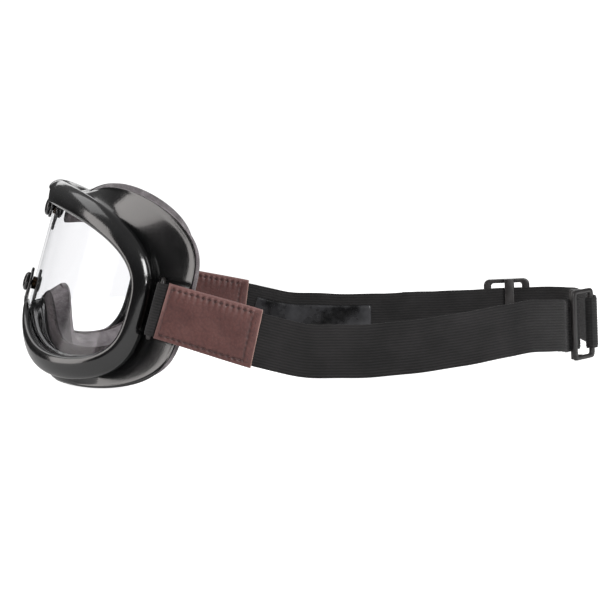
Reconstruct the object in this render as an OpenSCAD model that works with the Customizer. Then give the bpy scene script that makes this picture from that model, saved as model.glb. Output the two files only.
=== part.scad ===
/* [Lens and opening] */
// Radius of the upright cylinder that the lens is bent to
lens_radius = 76; // [68:0.5:90]
// Thickness of the clear lens
lens_thick = 1; // [0.8:0.1:1.6]
// Half width of the lens opening, measured along the bent lens
opening_half = 89.5; // [84:0.5:94]
// Height of the lens opening above its widest level
opening_top = 35.2; // [30:0.2:38]
// Depth of the lens opening below its widest level, at the cheeks
opening_bottom = 34.6; // [30:0.2:38]
// Height of the nose arch in the lens opening
opening_arch = 21.5; // [16:0.5:26]
// Width measure of the nose arch in the lens opening
opening_arch_w = 35; // [26:0.5:38]
// How far the lens edge reaches into the groove of the frame
lens_grip = 3.6; // [2.5:0.1:4.5]

/* [Frame] */
// Width of the rounded rim in front of the lens edge
rim_width = 10.2; // [8:0.1:12]
// How far the rim stands in front of the lens
rim_bead = 4.6; // [3:0.1:6]
// Thickness of the frame wall, measured across the line of sight
wall_thick = 2.6; // [2:0.1:3.4]
// How far the rear edge of the frame stands out beyond the rim at each side
rear_flare = 9.4; // [7:0.2:10.8]
// Height of the rear edge above its widest level
rear_top = 48.6; // [44:0.2:53]
// Depth of the rear edge below its widest level
rear_bottom = 51; // [46:0.5:53]
// Height of the nose arch in the rear edge
rear_arch = 31.5; // [28:0.5:35]
// Width measure of the nose arch in the rear edge
rear_arch_w = 21; // [18:0.5:24]
// How far the rear edge dips at the middle of the forehead
rear_dip = 12; // [6:0.5:13]
// Distance from the lens back to the face at the middle of the forehead
face_front = 15.5; // [13:0.5:20]
// Depth of the face curve from the forehead back to the temples
face_sweep = 86; // [78:1:92]
// Lean of the whole goggles as they lie, top to the rear
pitch = 17.4; // [12:0.2:20]

/* [Foam] */
// Width of the foam strip, from the wall inwards
foam_width = 9; // [6:0.5:10]
// Depth of the foam strip in front of its facing
foam_depth = 7; // [4:0.5:7.5]
// Thickness of the pale facing on the rear edge
facing_thick = 2.6; // [1.5:0.1:3.5]

/* [Snap tongues] */
// Width of a snap tongue at its root
tongue_width = 15; // [12:0.5:17]
// Thickness of the tongues
tongue_thick = 1.4; // [1:0.1:1.6]
// Gap between the lens and the front tongue
tongue_gap = 1.2; // [1:0.1:1.6]
// Diameter of a snap cap
snap_cap_d = 9.2; // [8:0.2:10]
// Height of a snap cap
snap_cap_h = 2.5; // [2:0.1:3]
// Diameter of the snap barrel that passes through the lens
snap_barrel_d = 6.2; // [5:0.1:6.6]
// Diameter of the snap post
snap_post_d = 3.4; // [3:0.1:3.6]
// Level of the upper snap below the brow
top_snap_drop = 11.4; // [11:0.2:12.4]
// Height of the lower snap above the nose arch of the opening
nose_snap_rise = 8.4; // [7.6:0.1:9.4]

/* [Strap] */
// Width of the elastic
elastic_width = 25; // [20:0.5:26]
// Thickness of the elastic
elastic_thick = 1.1; // [0.9:0.05:1.2]
// Thickness of the leather
leather_thick = 1.4; // [1:0.1:1.6]
// Length of the leather sleeve
leather_length = 46.6; // [40:0.2:50]
// Height of the leather sleeve
leather_height = 27.6; // [26.5:0.2:30]
// How far the strap posts stand out from the wall
post_reach = 12.8; // [12.4:0.1:16]
// How far the strap posts stand behind the front of the wall
post_back = 4.55; // [4.2:0.05:5]
// Diameter of a strap post
post_d = 2.3; // [1.8:0.1:2.4]
// Width of the rubber grip strip on the head side of the elastic
grip_width = 13; // [8:0.5:15]
// Thickness of the rubber grip strip
grip_thick = 0.5; // [0.3:0.1:0.8]
// Height of the middle of the strap above the ground along its level run
strap_level = 17.8; // [17.6:0.1:19]

/* [Buckle and slider] */
// Width of the buckle and of the slider along the strap
buckle_width = 24; // [22:0.5:26]
// Width of their end bars
end_bar = 3.9; // [3:0.1:4.2]
// Width of their middle bar
middle_bar = 5; // [4:0.1:5.4]
// Thickness of their bars
bar_thick = 1.8; // [1.4:0.1:2.2]
// Height of their rails
rail = 2.1; // [1.6:0.1:2.6]
// Angle of the rear buckle from the straight run of the strap
buckle_turn = 57; // [52:1:62]
// Travel of the slider towards the temple
slider_travel = 36; // [20:1:40]

/* [Hidden] */

// Points around the frame's loop, and steps of the fine outline that they are spaced along
loop_n = 96;
fine_n = 360;
// Running clearance between separate pieces
fit_gap = 0.2;
seat_gap = 0.3;
// Levels of the widest part of the opening, the rim and the rear edge, from the brow line
opening_level = -45;
rim_level = -44;
rear_level = -39;
// Squareness of the outlines, upper and lower half
opening_square = [2.8, 3.4];
rim_square = [2.65, 3.4];
rear_square = [5, 4.6];
// Reach of the dip at the forehead, and of the low part of the rim beside the nose
dip_w = 36;
low_rim_w = 30;
low_rim = 0.6;
// Share of the rim's width at which the wall leaves it, and depth there behind the lens
wall_root = 0.66;
wall_root_depth = 5.5;
// Curl of the wall towards the rear, and the small bead on its rear edge
wall_curl = 1.3;
edge_bead = 1.2;
// Depth of the groove's rear lip
rear_lip = 1;
// How far the foam's inner edge leans forward at the temples, where it lies against the side of the head
foam_lean = 12;
// Squareness that the lower corners lose for each millimetre inwards
corner_ease = 0.1;
groove_depth = lens_grip + seat_gap;
// Clearance of the foam, whose long facets cross those of the wall
foam_gap = 0.55;
// Side of the rim where the wall leaves it, the rear edge and the ellipse that the face curve follows
rim_flat = 0.7;
rim_side = (lens_radius - wall_root_depth)
    * sin((opening_half + wall_root * (rim_width - rim_flat)) / lens_radius * 180 / PI);
rear_half = rim_side + rear_flare;
face_half = rear_half + 4;
// Top of the nose arch in the lens opening, and the level of the lower snap below the brow
arch_level = opening_level - opening_bottom + opening_arch;
nose_snap_drop = -arch_level - nose_snap_rise;

function mix(a, b, s) = a + (b - a) * s;
function power(x, p) = x <= 0 ? 0 : pow(x, p);
function signed(x, p) = sign(x) * power(abs(x), p);
function bell(x, w, n = 2) = exp(-pow(abs(x) / w, n));
function unit(v) = v / norm(v);

// Outline point at angle t; o holds the half width, level, top, bottom, squareness, arch, arch width,
// dip and the squareness of the arch
function outline(t, o) =
    let(up = sin(t) >= 0, n = up ? o[4][0] : o[4][1], p = o[0] * signed(cos(t), 2 / n))
    let(rise = power(abs(sin(t)), 2 / n))
    [p, up ? o[1] + o[2] * rise - o[7] * bell(p, dip_w) : o[1] - o[3] * rise + o[5] * bell(p, o[6], o[8])];

// Rim outline a share f of the rim's width outside the lens opening
rim_arch_gain = 2.5;
rim_arch_narrow = 2;
rim_tall = 1.2;
function rim_shape(f) = [
    opening_half + f * (rim_width - rim_flat),
    mix(opening_level, rim_level, f),
    opening_top + f * (rim_width + rim_tall),
    opening_bottom + f * (rim_width + rim_tall),
    mix(opening_square, rim_square, f),
    opening_arch + f * rim_arch_gain,
    opening_arch_w - f * rim_arch_narrow,
    0, 2
];

// Rear outline a distance d inside the outer surface of the wall
arch_widen = 0.32;
function rear_shape(d) = [
    rear_half - d, rear_level, rear_top - d, rear_bottom - d,
    rear_square - [0, corner_ease * max(0, d)], rear_arch, rear_arch_w + arch_widen * d, rear_dip, 3
];

// Angles that space the loop's points evenly along the middle of the rim
fine = [for (i = [0:fine_n]) outline(-90 + 360 * i / fine_n, rim_shape(0.5))];
fine_step = [for (i = [0:fine_n - 1]) norm(fine[i + 1] - fine[i])];
fine_len = [for (i = 0, s = 0; i <= fine_n; s = s + (i < fine_n ? fine_step[i] : 0), i = i + 1) s];
angle_at = [for (i = [0:fine_n]) [fine_len[i], -90 + 360 * i / fine_n]];
loop_t = [for (i = [0:loop_n - 1]) lookup(fine_len[fine_n] * i / loop_n, angle_at)];

// Point on the bent lens: u along the bend, z up, e behind the front surface of the lens
function bent(u, z, e) =
    let(a = u / lens_radius * 180 / PI, r = lens_radius - e)
    [r * sin(a), lens_radius - r * cos(a), z];

function rim_point(t, f, e) = let(p = outline(t, rim_shape(f))) bent(p[0], p[1], e);

// The rim stands lower beside the nose
function bead_scale(t) =
    sin(t) > 0 ? 1 : 1 - low_rim * bell(outline(t, rim_shape(0.5))[0], low_rim_w);

// Share of the front lip that is cut away above the upper tongue
lip_cut = (top_snap_drop - snap_cap_d / 2 - 1.9 + (opening_level + opening_top)) / -rim_width;
function lip_start(t) =
    let(u = abs(outline(t, rim_shape(0))[0]))
    sin(t) < 0 ? 0 : lip_cut * max(0, min(1, (tongue_width / 2 + 6.5 - u) / 4));

// Place of the face at the rear edge, seen from above
function face_depth(x) = face_front + face_sweep * (1 - sqrt(1 - pow(x / face_half, 2)));

// Point on the wall: s = 0 at the rim, 1 at the rear edge, d inside the outer surface
function wall_point(t, s, d) =
    let(a = rim_point(t, wall_root - d / rim_width, wall_root_depth), b = outline(t, rear_shape(d)))
    let(edge = outline(t, rear_shape(0))[0])
    let(lean = foam_lean * pow(abs(edge) / rear_half, 3) * max(0, d - wall_thick) / foam_width)
    let(y = face_depth(edge) - facing_thick - lean, c = power(s, wall_curl))
    [mix(a[0], b[0], c), mix(a[1], y, s), mix(a[2], b[1], c)];

// Share of the wall's run at which the foam starts
function foam_start(t) =
    let(a = wall_point(t, 0, wall_thick), b = wall_point(t, 1, wall_thick))
    1 - foam_depth / (b[1] - a[1]);
function foam_middle(t) = (1 + foam_start(t)) / 2;
// Depths of the foam's outer and inner edges inside the outer surface
foam_out = wall_thick + foam_gap;
foam_in = foam_out + foam_width;

// Closed loop of rings, each a list of as many points
module loop_solid(rings) {
    k = len(rings);
    n = len(rings[0]);
    polyhedron([for (r = rings) each r], [
        for (a = [0:k - 1]) for (i = [0:n - 1])
            let(b = (a + 1) % k, j = (i + 1) % n)
            each [[a * n + i, a * n + j, b * n + j], [a * n + i, b * n + j, b * n + i]]
    ]);
}

// Open run of rings, closed by a flat face at each end
module run_solid(rings) {
    k = len(rings);
    n = len(rings[0]);
    polyhedron([for (r = rings) each r], [
        for (a = [0:k - 2]) for (i = [0:n - 1])
            let(j = (i + 1) % n)
            each [[a * n + i, a * n + j, (a + 1) * n + j], [a * n + i, (a + 1) * n + j, (a + 1) * n + i]],
        [for (i = [n - 1:-1:0]) i],
        [for (i = [0:n - 1]) (k - 1) * n + i]
    ]);
}

// How far the facing reaches over the bead on the rear edge, and the bevel along its rim
facing_over = edge_bead * 0.6;
facing_bevel = 0.6;
// The lowest point of the leaning rear edge stands on the ground
rear_corners = [[-edge_bead, 0], [-facing_over, 0.8 * facing_thick], [facing_bevel, facing_thick]];
lowest = min([
    for (t = loop_t) for (q = rear_corners)
        let(p = wall_point(t, 1, q[0])) -(p[1] + q[1]) * sin(pitch) + p[2] * cos(pitch)
]);
brow_back = 121.04;
brow_place = [0, -brow_back, -lowest];

module placed() {
    translate(brow_place) rotate([-pitch, 0, 0]) children();
}

// Section of the rim, from the opening over the bead to the wall: share of the width, height share
bead_section = [
    [0, 0.08], [0.05, 0.45], [0.2, 0.85], [0.45, 1], [0.72, 0.86], [0.93, 0.42], [1, -0.12]
];
wall_steps = [0, 0.2, 0.45, 0.7, 0.9];
module frame() {
    color([0.06, 0.06, 0.065])
    placed()
    loop_solid([
        for (b = bead_section) [
            for (t = loop_t) rim_point(t, mix(lip_start(t), 1, b[0]), -rim_bead * bead_scale(t) * b[1])
        ],
        [for (t = loop_t) rim_point(t, 0.94, 2.8)],
        [for (t = loop_t) rim_point(t, 0.76, 4)],
        for (s = wall_steps) [for (t = loop_t) wall_point(t, s, 0)],
        [for (t = loop_t) wall_point(t, 0.94, -edge_bead)],
        [for (t = loop_t) wall_point(t, 1, -edge_bead)],
        [for (t = loop_t) wall_point(t, 1, wall_thick)],
        [for (t = loop_t) wall_point(t, foam_middle(t), wall_thick)],
        [for (t = loop_t) wall_point(t, foam_start(t), wall_thick)],
        [for (t = loop_t) wall_point(t, foam_start(t) * 0.4, wall_thick)],
        [for (t = loop_t) rim_point(t, groove_depth / rim_width, lens_thick + fit_gap + rear_lip + 1)],
        [for (t = loop_t) rim_point(t, 0.3, lens_thick + fit_gap + rear_lip)],
        [for (t = loop_t) rim_point(t, lip_start(t) / 2, lens_thick + fit_gap + rear_lip)],
        [for (t = loop_t) rim_point(t, lip_start(t) / 2, lens_thick + fit_gap)],
        [for (t = loop_t) rim_point(t, groove_depth / rim_width, lens_thick + fit_gap)],
        [for (t = loop_t) rim_point(t, max(groove_depth / rim_width, lip_start(t) + 0.02), -fit_gap)],
        [for (t = loop_t) rim_point(t, lip_start(t), -fit_gap)]
    ]);
}

// Top and bottom of the lens at a place along the bend
lens_shape = rim_shape(lens_grip / rim_width);
lens_columns = 72;
function lens_column(i) =
    let(a = 90 - 180 * (i + 0.5) / lens_columns, u = lens_shape[0] * sin(a), q = abs(sin(a)))
    let(n = lens_shape[4], top = lens_shape[1] + lens_shape[2] * power(1 - power(q, n[0]), 1 / n[0]))
    let(low = lens_shape[1] - lens_shape[3] * power(1 - power(q, n[1]), 1 / n[1]))
    let(bottom = low + lens_shape[5] * bell(u, lens_shape[6]))
    [bent(u, top, 0), bent(u, bottom, 0), bent(u, bottom, lens_thick), bent(u, top, lens_thick)];
module lens() {
    color([0.8, 0.88, 0.9, 0.4])
    placed()
    difference() {
        run_solid([for (i = [0:lens_columns - 1]) lens_column(i)]);
        for (drop = [top_snap_drop, nose_snap_drop])
            translate([0, -2, -drop]) rotate([-90, 0, 0])
                cylinder(h = 6, d = snap_barrel_d + 2 * seat_gap, $fn = 48);
    }
}

// How far the foam draws in from the wall at its front edge and half way along
foam_draw = [2, 1];
module face_foam() {
    color([0.38, 0.38, 0.4])
    placed()
    loop_solid([
        [for (t = loop_t) wall_point(t, foam_start(t), foam_out + foam_draw[0])],
        [for (t = loop_t) wall_point(t, foam_middle(t), foam_out + foam_draw[1])],
        [for (t = loop_t) wall_point(t, 1, foam_out)],
        [for (t = loop_t) wall_point(t, 1, (foam_out + foam_in) / 2)],
        [for (t = loop_t) wall_point(t, 1, foam_in)],
        [for (t = loop_t) wall_point(t, foam_middle(t), foam_in)],
        [for (t = loop_t) wall_point(t, foam_start(t), foam_in - 0.8)]
    ]);
}

module foam_facing() {
    near = [0, foam_gap, 0];
    far = [0, facing_thick, 0];
    color([0.6, 0.6, 0.61])
    placed()
    loop_solid([
        [for (t = loop_t) wall_point(t, 1, -facing_over) + near],
        [for (t = loop_t) wall_point(t, 1, -facing_over) + far * 0.8],
        [for (t = loop_t) wall_point(t, 1, facing_bevel) + far],
        [for (t = loop_t) wall_point(t, 1, foam_in - facing_bevel) + far],
        [for (t = loop_t) wall_point(t, 1, foam_in) + far * 0.75],
        [for (t = loop_t) wall_point(t, 1, foam_in) + near],
        [for (t = loop_t) wall_point(t, 1, (wall_thick + foam_in) / 2) + near],
        [for (t = loop_t) wall_point(t, 1, wall_thick) + near]
    ]);
}

// Depths of the snap's stack in front of the lens (negative) and behind it
tongue_back = -tongue_gap;
tongue_front = -tongue_gap - tongue_thick;
tab_front = lens_thick + fit_gap;
tab_back = tab_front + tongue_thick;
socket_bore = snap_post_d + 1.4;
socket_d = socket_bore + 1;
hinge_r = tongue_thick / 2;
// The upper tongue and its snap sit this much further back
upper_set_back = 0.9;
// Levels of the tongues' roots and tips; the upper one hangs, the lower one stands
cap_r = snap_cap_d / 2;
top_root = -(top_snap_drop - cap_r - 0.9);
top_tip = -(top_snap_drop + cap_r + 0.8);
nose_root = arch_level + 1;
nose_tip = 7.3 - nose_snap_drop;
// The tabs behind the lens start at the frame's rear lip
top_tab_root = outline(90, rim_shape(lip_cut / 2))[1] - seat_gap;
top_tab_tip = -(top_snap_drop + 11.1);
nose_tab_root = arch_level + fit_gap;

// Shield outline from the root at 0 to the tip at reach, along -y, with r the tip's radius
long_tip = 2.6;
short_tip = 5.5;
module shield(reach, r) {
    w = tongue_width / 2;
    polygon([
        [-w, 0], [w, 0], [w, -reach * 0.5], [w * 0.86, -reach * 0.66],
        for (a = [-20:-10:-160]) [r * cos(a), -reach + r + r * sin(a)],
        [-w * 0.86, -reach * 0.66], [-w, -reach * 0.5]
    ]);
}

// Plate between two depths, bent like the lens; the cutting shapes reach well beyond the plate
plate_reach = 12;
plate_height = 2 * lens_radius;
module bent_plate(e0, e1) {
    intersection() {
        translate([0, lens_radius, 0]) difference() {
            cylinder(h = plate_height, r = lens_radius - e0, center = true, $fn = 180);
            cylinder(h = plate_height + plate_reach, r = lens_radius - e1, center = true, $fn = 180);
        }
        rotate([90, 0, 0]) linear_extrude(2 * plate_reach, center = true) children();
    }
}

module tongue(root, tip, drop, tip_r) {
    difference() {
        union() {
            bent_plate(tongue_front, tongue_back)
                translate([0, root]) mirror([0, root > tip ? 0 : 1]) shield(abs(root - tip), tip_r);
            hinge_at(root) rotate([0, 90, 0])
                cylinder(h = tongue_width - 2, r = hinge_r, center = true, $fn = 32);
        }
        translate([0, 0, -drop]) rotate([90, 0, 0])
            cylinder(h = 8, d = socket_d + fit_gap, $fn = 48);
    }
}

module upper() {
    placed() translate([0, upper_set_back, 0]) children();
}

module hinge_at(root) {
    translate([0, tongue_back - hinge_r, root]) children();
}

// Round piece on the snap's axis: pairs of radius and depth, from the rear forwards
module snap_round(drop, pts) {
    translate([0, 0, -drop]) rotate([90, 0, 0])
        rotate_extrude($fn = 48) polygon([for (p = pts) [p[0], -p[1]]]);
}

cap_back = tongue_front - 0.05;
cap_front = cap_back - snap_cap_h;
recess = 0.6;
module snap_cap(drop) {
    snap_round(drop, [
        [0, cap_back - recess], [socket_d / 2 + 0.3, cap_back - recess], [socket_d / 2 + 0.3, cap_back],
        [cap_r - 0.2, cap_back], [cap_r, cap_back - 0.4], [cap_r, cap_back - snap_cap_h * 0.5],
        [cap_r - 0.5, cap_back - snap_cap_h * 0.78], [cap_r - 1.4, cap_front + 0.15],
        [cap_r - 2.2, cap_front], [0, cap_front]
    ]);
}

module snap_socket(drop) {
    snap_round(drop, [
        [socket_bore / 2, tongue_back - 0.05], [socket_d / 2, tongue_back - 0.05],
        [socket_d / 2, cap_back - recess + 0.1], [socket_bore / 2, cap_back - recess + 0.1]
    ]);
}

// Heads behind the tab: a flat one at the nose and a domed one, as wide as the cap, at the top
nose_head = [snap_barrel_d / 2 + 0.8, 0.9];
top_head = [cap_r, 2.4];
// A head lies on the bent tab at its two sides
function head_front(r) = tab_back + pow(r, 2) / (2 * (lens_radius - tab_back)) + 0.02;
module snap_stud(drop, head, set_back) {
    b = snap_barrel_d / 2;
    p = snap_post_d / 2;
    r = head[0];
    front = head_front(r) - set_back;
    rear = front + head[1];
    tip = cap_back - recess + 0.35;
    snap_round(drop, [
        [0, rear], [r * 0.5, rear - head[1] * 0.06], [r * 0.84, rear - head[1] * 0.3],
        [r, rear - head[1] * 0.7], [r, front], [b, front],
        [b, tongue_back + seat_gap], [p - 0.4, tongue_back + seat_gap], [p - 0.4, tongue_back - 0.4],
        [p, tongue_back - 0.8], [p, tip + 0.5], [p - 0.5, tip], [0, tip]
    ]);
}

module stud_tab(root, tip, drop) {
    difference() {
        bent_plate(tab_front, tab_back)
            translate([0, root]) mirror([0, root > tip ? 0 : 1]) shield(abs(root - tip), long_tip);
        translate([0, plate_reach, -drop]) rotate([90, 0, 0])
            cylinder(h = plate_reach, d = snap_barrel_d + fit_gap, $fn = 48);
    }
}

module top_tongue() {
    color([0.07, 0.07, 0.075]) upper() tongue(top_root, top_tip, top_snap_drop, short_tip);
}
module top_snap_cap() {
    color([0.05, 0.05, 0.05]) upper() snap_cap(top_snap_drop);
}
module top_snap_socket() {
    color([0.45, 0.33, 0.25]) upper() snap_socket(top_snap_drop);
}
module top_snap_stud() {
    color([0.45, 0.33, 0.25]) upper() snap_stud(top_snap_drop, top_head, upper_set_back);
}
module top_stud_tab() {
    color([0.08, 0.08, 0.085]) placed() stud_tab(top_tab_root, top_tab_tip, top_snap_drop);
}
module nose_tongue() {
    color([0.07, 0.07, 0.075]) placed() tongue(nose_root, nose_tip, nose_snap_drop, long_tip);
}
module nose_snap_cap() {
    color([0.05, 0.05, 0.05]) placed() snap_cap(nose_snap_drop);
}
module nose_snap_socket() {
    color([0.45, 0.33, 0.25]) placed() snap_socket(nose_snap_drop);
}
module nose_snap_stud() {
    color([0.45, 0.33, 0.25]) placed() snap_stud(nose_snap_drop, nose_head, 0);
}
module nose_stud_tab() {
    color([0.08, 0.08, 0.085]) placed() stud_tab(nose_tab_root, nose_tip, nose_snap_drop);
}

// Strap posts: an upright bar on two arms that stand out from the wall at each temple
wall_front = wall_point(0, 0, 0);
wall_rear = wall_point(0, 1, 0);
function wall_x(y) =
    mix(wall_front[0], wall_rear[0], power((y - wall_front[1]) / (wall_rear[1] - wall_front[1]), wall_curl));
post_y = wall_front[1] + post_back;
post_z = -41.7;
post_side = wall_x(post_y) + post_reach;
arm_thick = 1.8;
arm_half = elastic_width / 2 + 0.6;
module strap_post(side) {
    inner = max(wall_x(post_y - post_d / 2), wall_x(post_y + post_d / 2)) + seat_gap + 0.1;
    color([0.08, 0.08, 0.085])
    placed()
    mirror([side < 0 ? 1 : 0, 0, 0])
    translate([0, post_y, post_z])
    union() {
        translate([post_side, 0, -arm_half]) cylinder(h = 2 * arm_half, d = post_d, $fn = 48);
        for (z = [-arm_half - arm_thick, arm_half])
            translate([inner, -post_d / 2, z]) cube([post_side + post_d / 2 - inner, post_d, arm_thick]);
    }
}
module left_strap_post() {
    strap_post(1);
}
module right_strap_post() {
    strap_post(-1);
}

// The elastic's run, first in the frame of the goggles and then in that of the ground; tilts in degrees
left_tilt = 1.7;
right_tilt = -3.7;
layer = elastic_thick / 2 + 0.1;
turn_r = post_d / 2 + seat_gap + elastic_thick / 2;
// Steps behind the post over which the two layers of the elastic come together
spread_steps = [for (k = [1.2, 2.2, 3.4, 4.5, 5.5]) post_y + k];
sleeve_front = spread_steps[1];
sleeve_flat = spread_steps[4];
sleeve_rear = sleeve_front + leather_length;
// Length of the elastic's folded end that the sleeve leaves free
fold_free = 10;
fold_end = sleeve_rear - fold_free;
ground_up = [0, 0, 1];
post_up = [0, sin(pitch), cos(pitch)];
function lie(p) = [
    p[0], p[1] * cos(pitch) + p[2] * sin(pitch), -p[1] * sin(pitch) + p[2] * cos(pitch)
] + brow_place;
function sleeve_z(y, tilt) = post_z - tan(tilt) * max(0, y - sleeve_front);
function ease(s) = let(q = max(0, min(1, s))) q * q * (3 - 2 * q);
// Distance of each layer of the elastic from the sleeve's middle plane
function spread(y) = mix(turn_r, layer, ease((y - post_y) / (sleeve_flat - post_y)));
function sleeve_point(side, tilt, y, off) = lie([side * (post_side + off), y, sleeve_z(y, tilt)]);
// From the folded end, round the strap post and back to the middle of the sleeve
function folded_run(side, tilt) = [
    sleeve_point(side, tilt, fold_end, -layer),
    sleeve_point(side, tilt, (fold_end + sleeve_flat) / 2, -layer),
    for (i = [len(spread_steps) - 1:-1:0])
        sleeve_point(side, tilt, spread_steps[i], -spread(spread_steps[i])),
    for (a = [180:-22.5:0]) sleeve_point(side, tilt, post_y - turn_r * sin(a), turn_r * cos(a)),
    for (y = spread_steps) sleeve_point(side, tilt, y, spread(y)),
    sleeve_point(side, tilt, (sleeve_flat + sleeve_rear) / 2, layer)
];
fold_count = len(folded_run(1, left_tilt));

// Smooth run through chosen points, with a number of steps between each two
function curve_at(p0, p1, p2, p3, s) =
    0.5 * (2 * p1 + (p2 - p0) * s + (2 * p0 - 5 * p1 + 4 * p2 - p3) * pow(s, 2)
        + (3 * p1 - p0 - 3 * p2 + p3) * pow(s, 3));
function smooth_run(pts, steps) = [
    for (i = [1:len(pts) - 3]) for (k = [0:steps - 1])
        curve_at(pts[i - 1], pts[i], pts[i + 1], pts[i + 2], k / steps),
    pts[len(pts) - 2]
];
function heading(run, i) = unit(run[min(i + 1, len(run) - 1)] - run[max(i - 1, 0)]);
// A run moved sideways; positive is to the right of its heading, seen from above
function beside(run, i, d) = let(h = heading(run, i)) run[i] + d * unit([h[1], -h[0], 0]);

// Flat band swept along a run, moved sideways by off; its width stays square to the run
function band_ring(run, i, up, w, t, off) =
    let(h = heading(run, i), across = unit(up - (up * h) * h), side = cross(h, across))
    let(p = run[i] + off * side)
    [
        p + across * w / 2 + side * t / 2, p + across * w / 2 - side * t / 2,
        p - across * w / 2 - side * t / 2, p - across * w / 2 + side * t / 2
    ];
module band(run, w, t, off = 0, folded = 0) {
    run_solid([for (i = [0:len(run) - 1]) band_ring(run, i, i < folded ? post_up : ground_up, w, t, off)]);
}

// Buckle and slider are the same piece: a flat outer frame, with the middle bar on the head side of the strap
bar_gap = 2 * elastic_thick + 0.2 + 2 * fit_gap;
slot_reach = elastic_width / 2 + 2.6;
buckle_half = slot_reach + rail;
bar_shift = 0.9;
corner_round = 3;
end_inner = buckle_width / 2 - end_bar;
mid_left = -middle_bar / 2 - bar_shift;
mid_right = middle_bar / 2 - bar_shift;
module strap_frame() {
    translate([0, 0, -buckle_half]) cube_ring();
    for (z = [-buckle_half, slot_reach])
        translate([mid_left, 0, z]) cube([middle_bar, bar_gap + bar_thick, rail]);
    translate([mid_left, bar_gap, -slot_reach]) cube([middle_bar, bar_thick, 2 * slot_reach]);
}
module cube_ring() {
    r = corner_round;
    w = buckle_width;
    h = 2 * buckle_half;
    rotate([90, 0, 0]) linear_extrude(bar_thick) difference() {
        union() {
            translate([-w / 2 + r, 0]) square([w - 2 * r, h]);
            translate([-w / 2, r]) square([w, h - 2 * r]);
            for (x = [-w / 2 + r, w / 2 - r]) for (y = [r, h - r]) translate([x, y]) circle(r, $fn = 32);
        }
        translate([-end_inner, rail]) square([2 * end_inner, h - 2 * rail]);
    }
}

// Rear buckle, standing on the ground; a runs along the strap through it and b outwards
buckle_mid = [12, 131.36, buckle_half];
buckle_dir = [-sin(buckle_turn), cos(buckle_turn), 0];
buckle_out = [cos(buckle_turn), sin(buckle_turn), 0];
function at_buckle(a, b) = buckle_mid + a * buckle_dir + b * buckle_out;

// Left strap beyond the sleeve, to the buckle
side_x = post_side + layer;
lead = 12;
left_points = [
    sleeve_point(1, left_tilt, sleeve_rear - lead, layer), sleeve_point(1, left_tilt, sleeve_rear, layer),
    [side_x, -10.5, 16.1], [side_x, 8.5, 14.6], [side_x - 1.15, 31, 14.8], [side_x - 4.15, 55, 16.2],
    [side_x - 11.65, 77, 18.6], [side_x - 24.15, 96, 20.2], [44, 110, 19.6], [31.5, 120, 18.4],
    for (q = [[-14, 0], [-6, fit_gap], [0, fit_gap]]) at_buckle(q[0], -bar_gap + q[1] + layer)
];
left_run = smooth_run(left_points, 4);
// Round the buckle's middle bar and back on the head side of the strap
turn_mid = bar_thick / 2 + fit_gap + elastic_thick / 2;
bar_mid = -bar_gap - bar_thick / 2;
sewn_steps = 9;
left_turn = [
    at_buckle(mid_right - 0.8, bar_mid + turn_mid),
    for (a = [90:-22.5:-90]) at_buckle(mid_right + turn_mid * cos(a), bar_mid + turn_mid * sin(a)),
    at_buckle(mid_left, bar_mid - turn_mid)
];
left_return = [
    for (k = [1:sewn_steps])
        beside(left_run, len(left_run) - 1 - k, -mix(1.45 * turn_mid + layer, 2 * layer, ease(k / 4)))
];

// Right strap: along the far side to the buckle's end bar, round it and back as the outer layer
straight_front = 44;
side_back = 119.56;
corner_r = 19;
rear_line = side_back + corner_r;
right_points = [
    sleeve_point(-1, right_tilt, sleeve_rear - lead, layer), sleeve_point(-1, right_tilt, sleeve_rear, layer),
    [-side_x, -10, 21], [-side_x, 8, 19.3], [-side_x, 26, 18.3], [-side_x, straight_front, strap_level],
    [-side_x, straight_front + lead, strap_level]
];
straight_steps = 6;
corner = [
    for (a = [0:15:90]) [-side_x + corner_r * (1 - cos(a)), side_back + corner_r * sin(a), strap_level]
];
under_bar = -fit_gap - elastic_thick / 2;
turn_end = bar_thick / 2 - under_bar;
rear_points = [
    corner[5], corner[6], [-38, rear_line + 0.6, strap_level], [-14, rear_line + 0.6, 17.5],
    at_buckle(buckle_width / 2 + 1, -2.6), at_buckle(end_inner, under_bar), at_buckle(end_inner - 5, 1.1)
];
right_run = concat(
    smooth_run(right_points, 4),
    [
        for (k = [1:straight_steps - 1])
            [-side_x, mix(straight_front, side_back, k / straight_steps), strap_level]
    ],
    [for (i = [0:5]) corner[i]], smooth_run(rear_points, 5)
);
right_turn = [
    for (a = [22.5:22.5:157.5]) at_buckle(end_inner - turn_end * sin(a), bar_thick / 2 - turn_end * cos(a))
];
right_end = right_run[len(right_run) - 1];
slider_rest = 107.3;
tail = slider_travel + buckle_width / 2 + 7;
// The outer layer keeps clear of the end bar and then lies on the inner one
function outer_gap(p) =
    let(d = norm(p - right_end)) mix(2 * turn_end + 1.2, 2 * layer, ease((d - end_bar - 2) / 16));
right_return = [
    at_buckle(buckle_width / 2 + 0.3, bar_thick + turn_end - bar_thick / 2),
    for (i = [len(right_run) - 1:-1:0])
        if (norm(right_run[i] - right_end) > end_bar + 3 && right_run[i][1] > slider_rest - tail + 12)
            beside(right_run, i, -outer_gap(right_run[i])),
    [-side_x - 2 * layer, slider_rest - tail, strap_level]
];

module left_strap() {
    run = concat(folded_run(1, left_tilt), left_run, left_turn, left_return);
    color([0.14, 0.14, 0.15]) band(run, elastic_width, elastic_thick, 0, fold_count);
}
module right_strap() {
    run = concat(folded_run(-1, right_tilt), right_run, right_turn, right_return);
    color([0.14, 0.14, 0.15]) band(run, elastic_width, elastic_thick, 0, fold_count);
}

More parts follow.
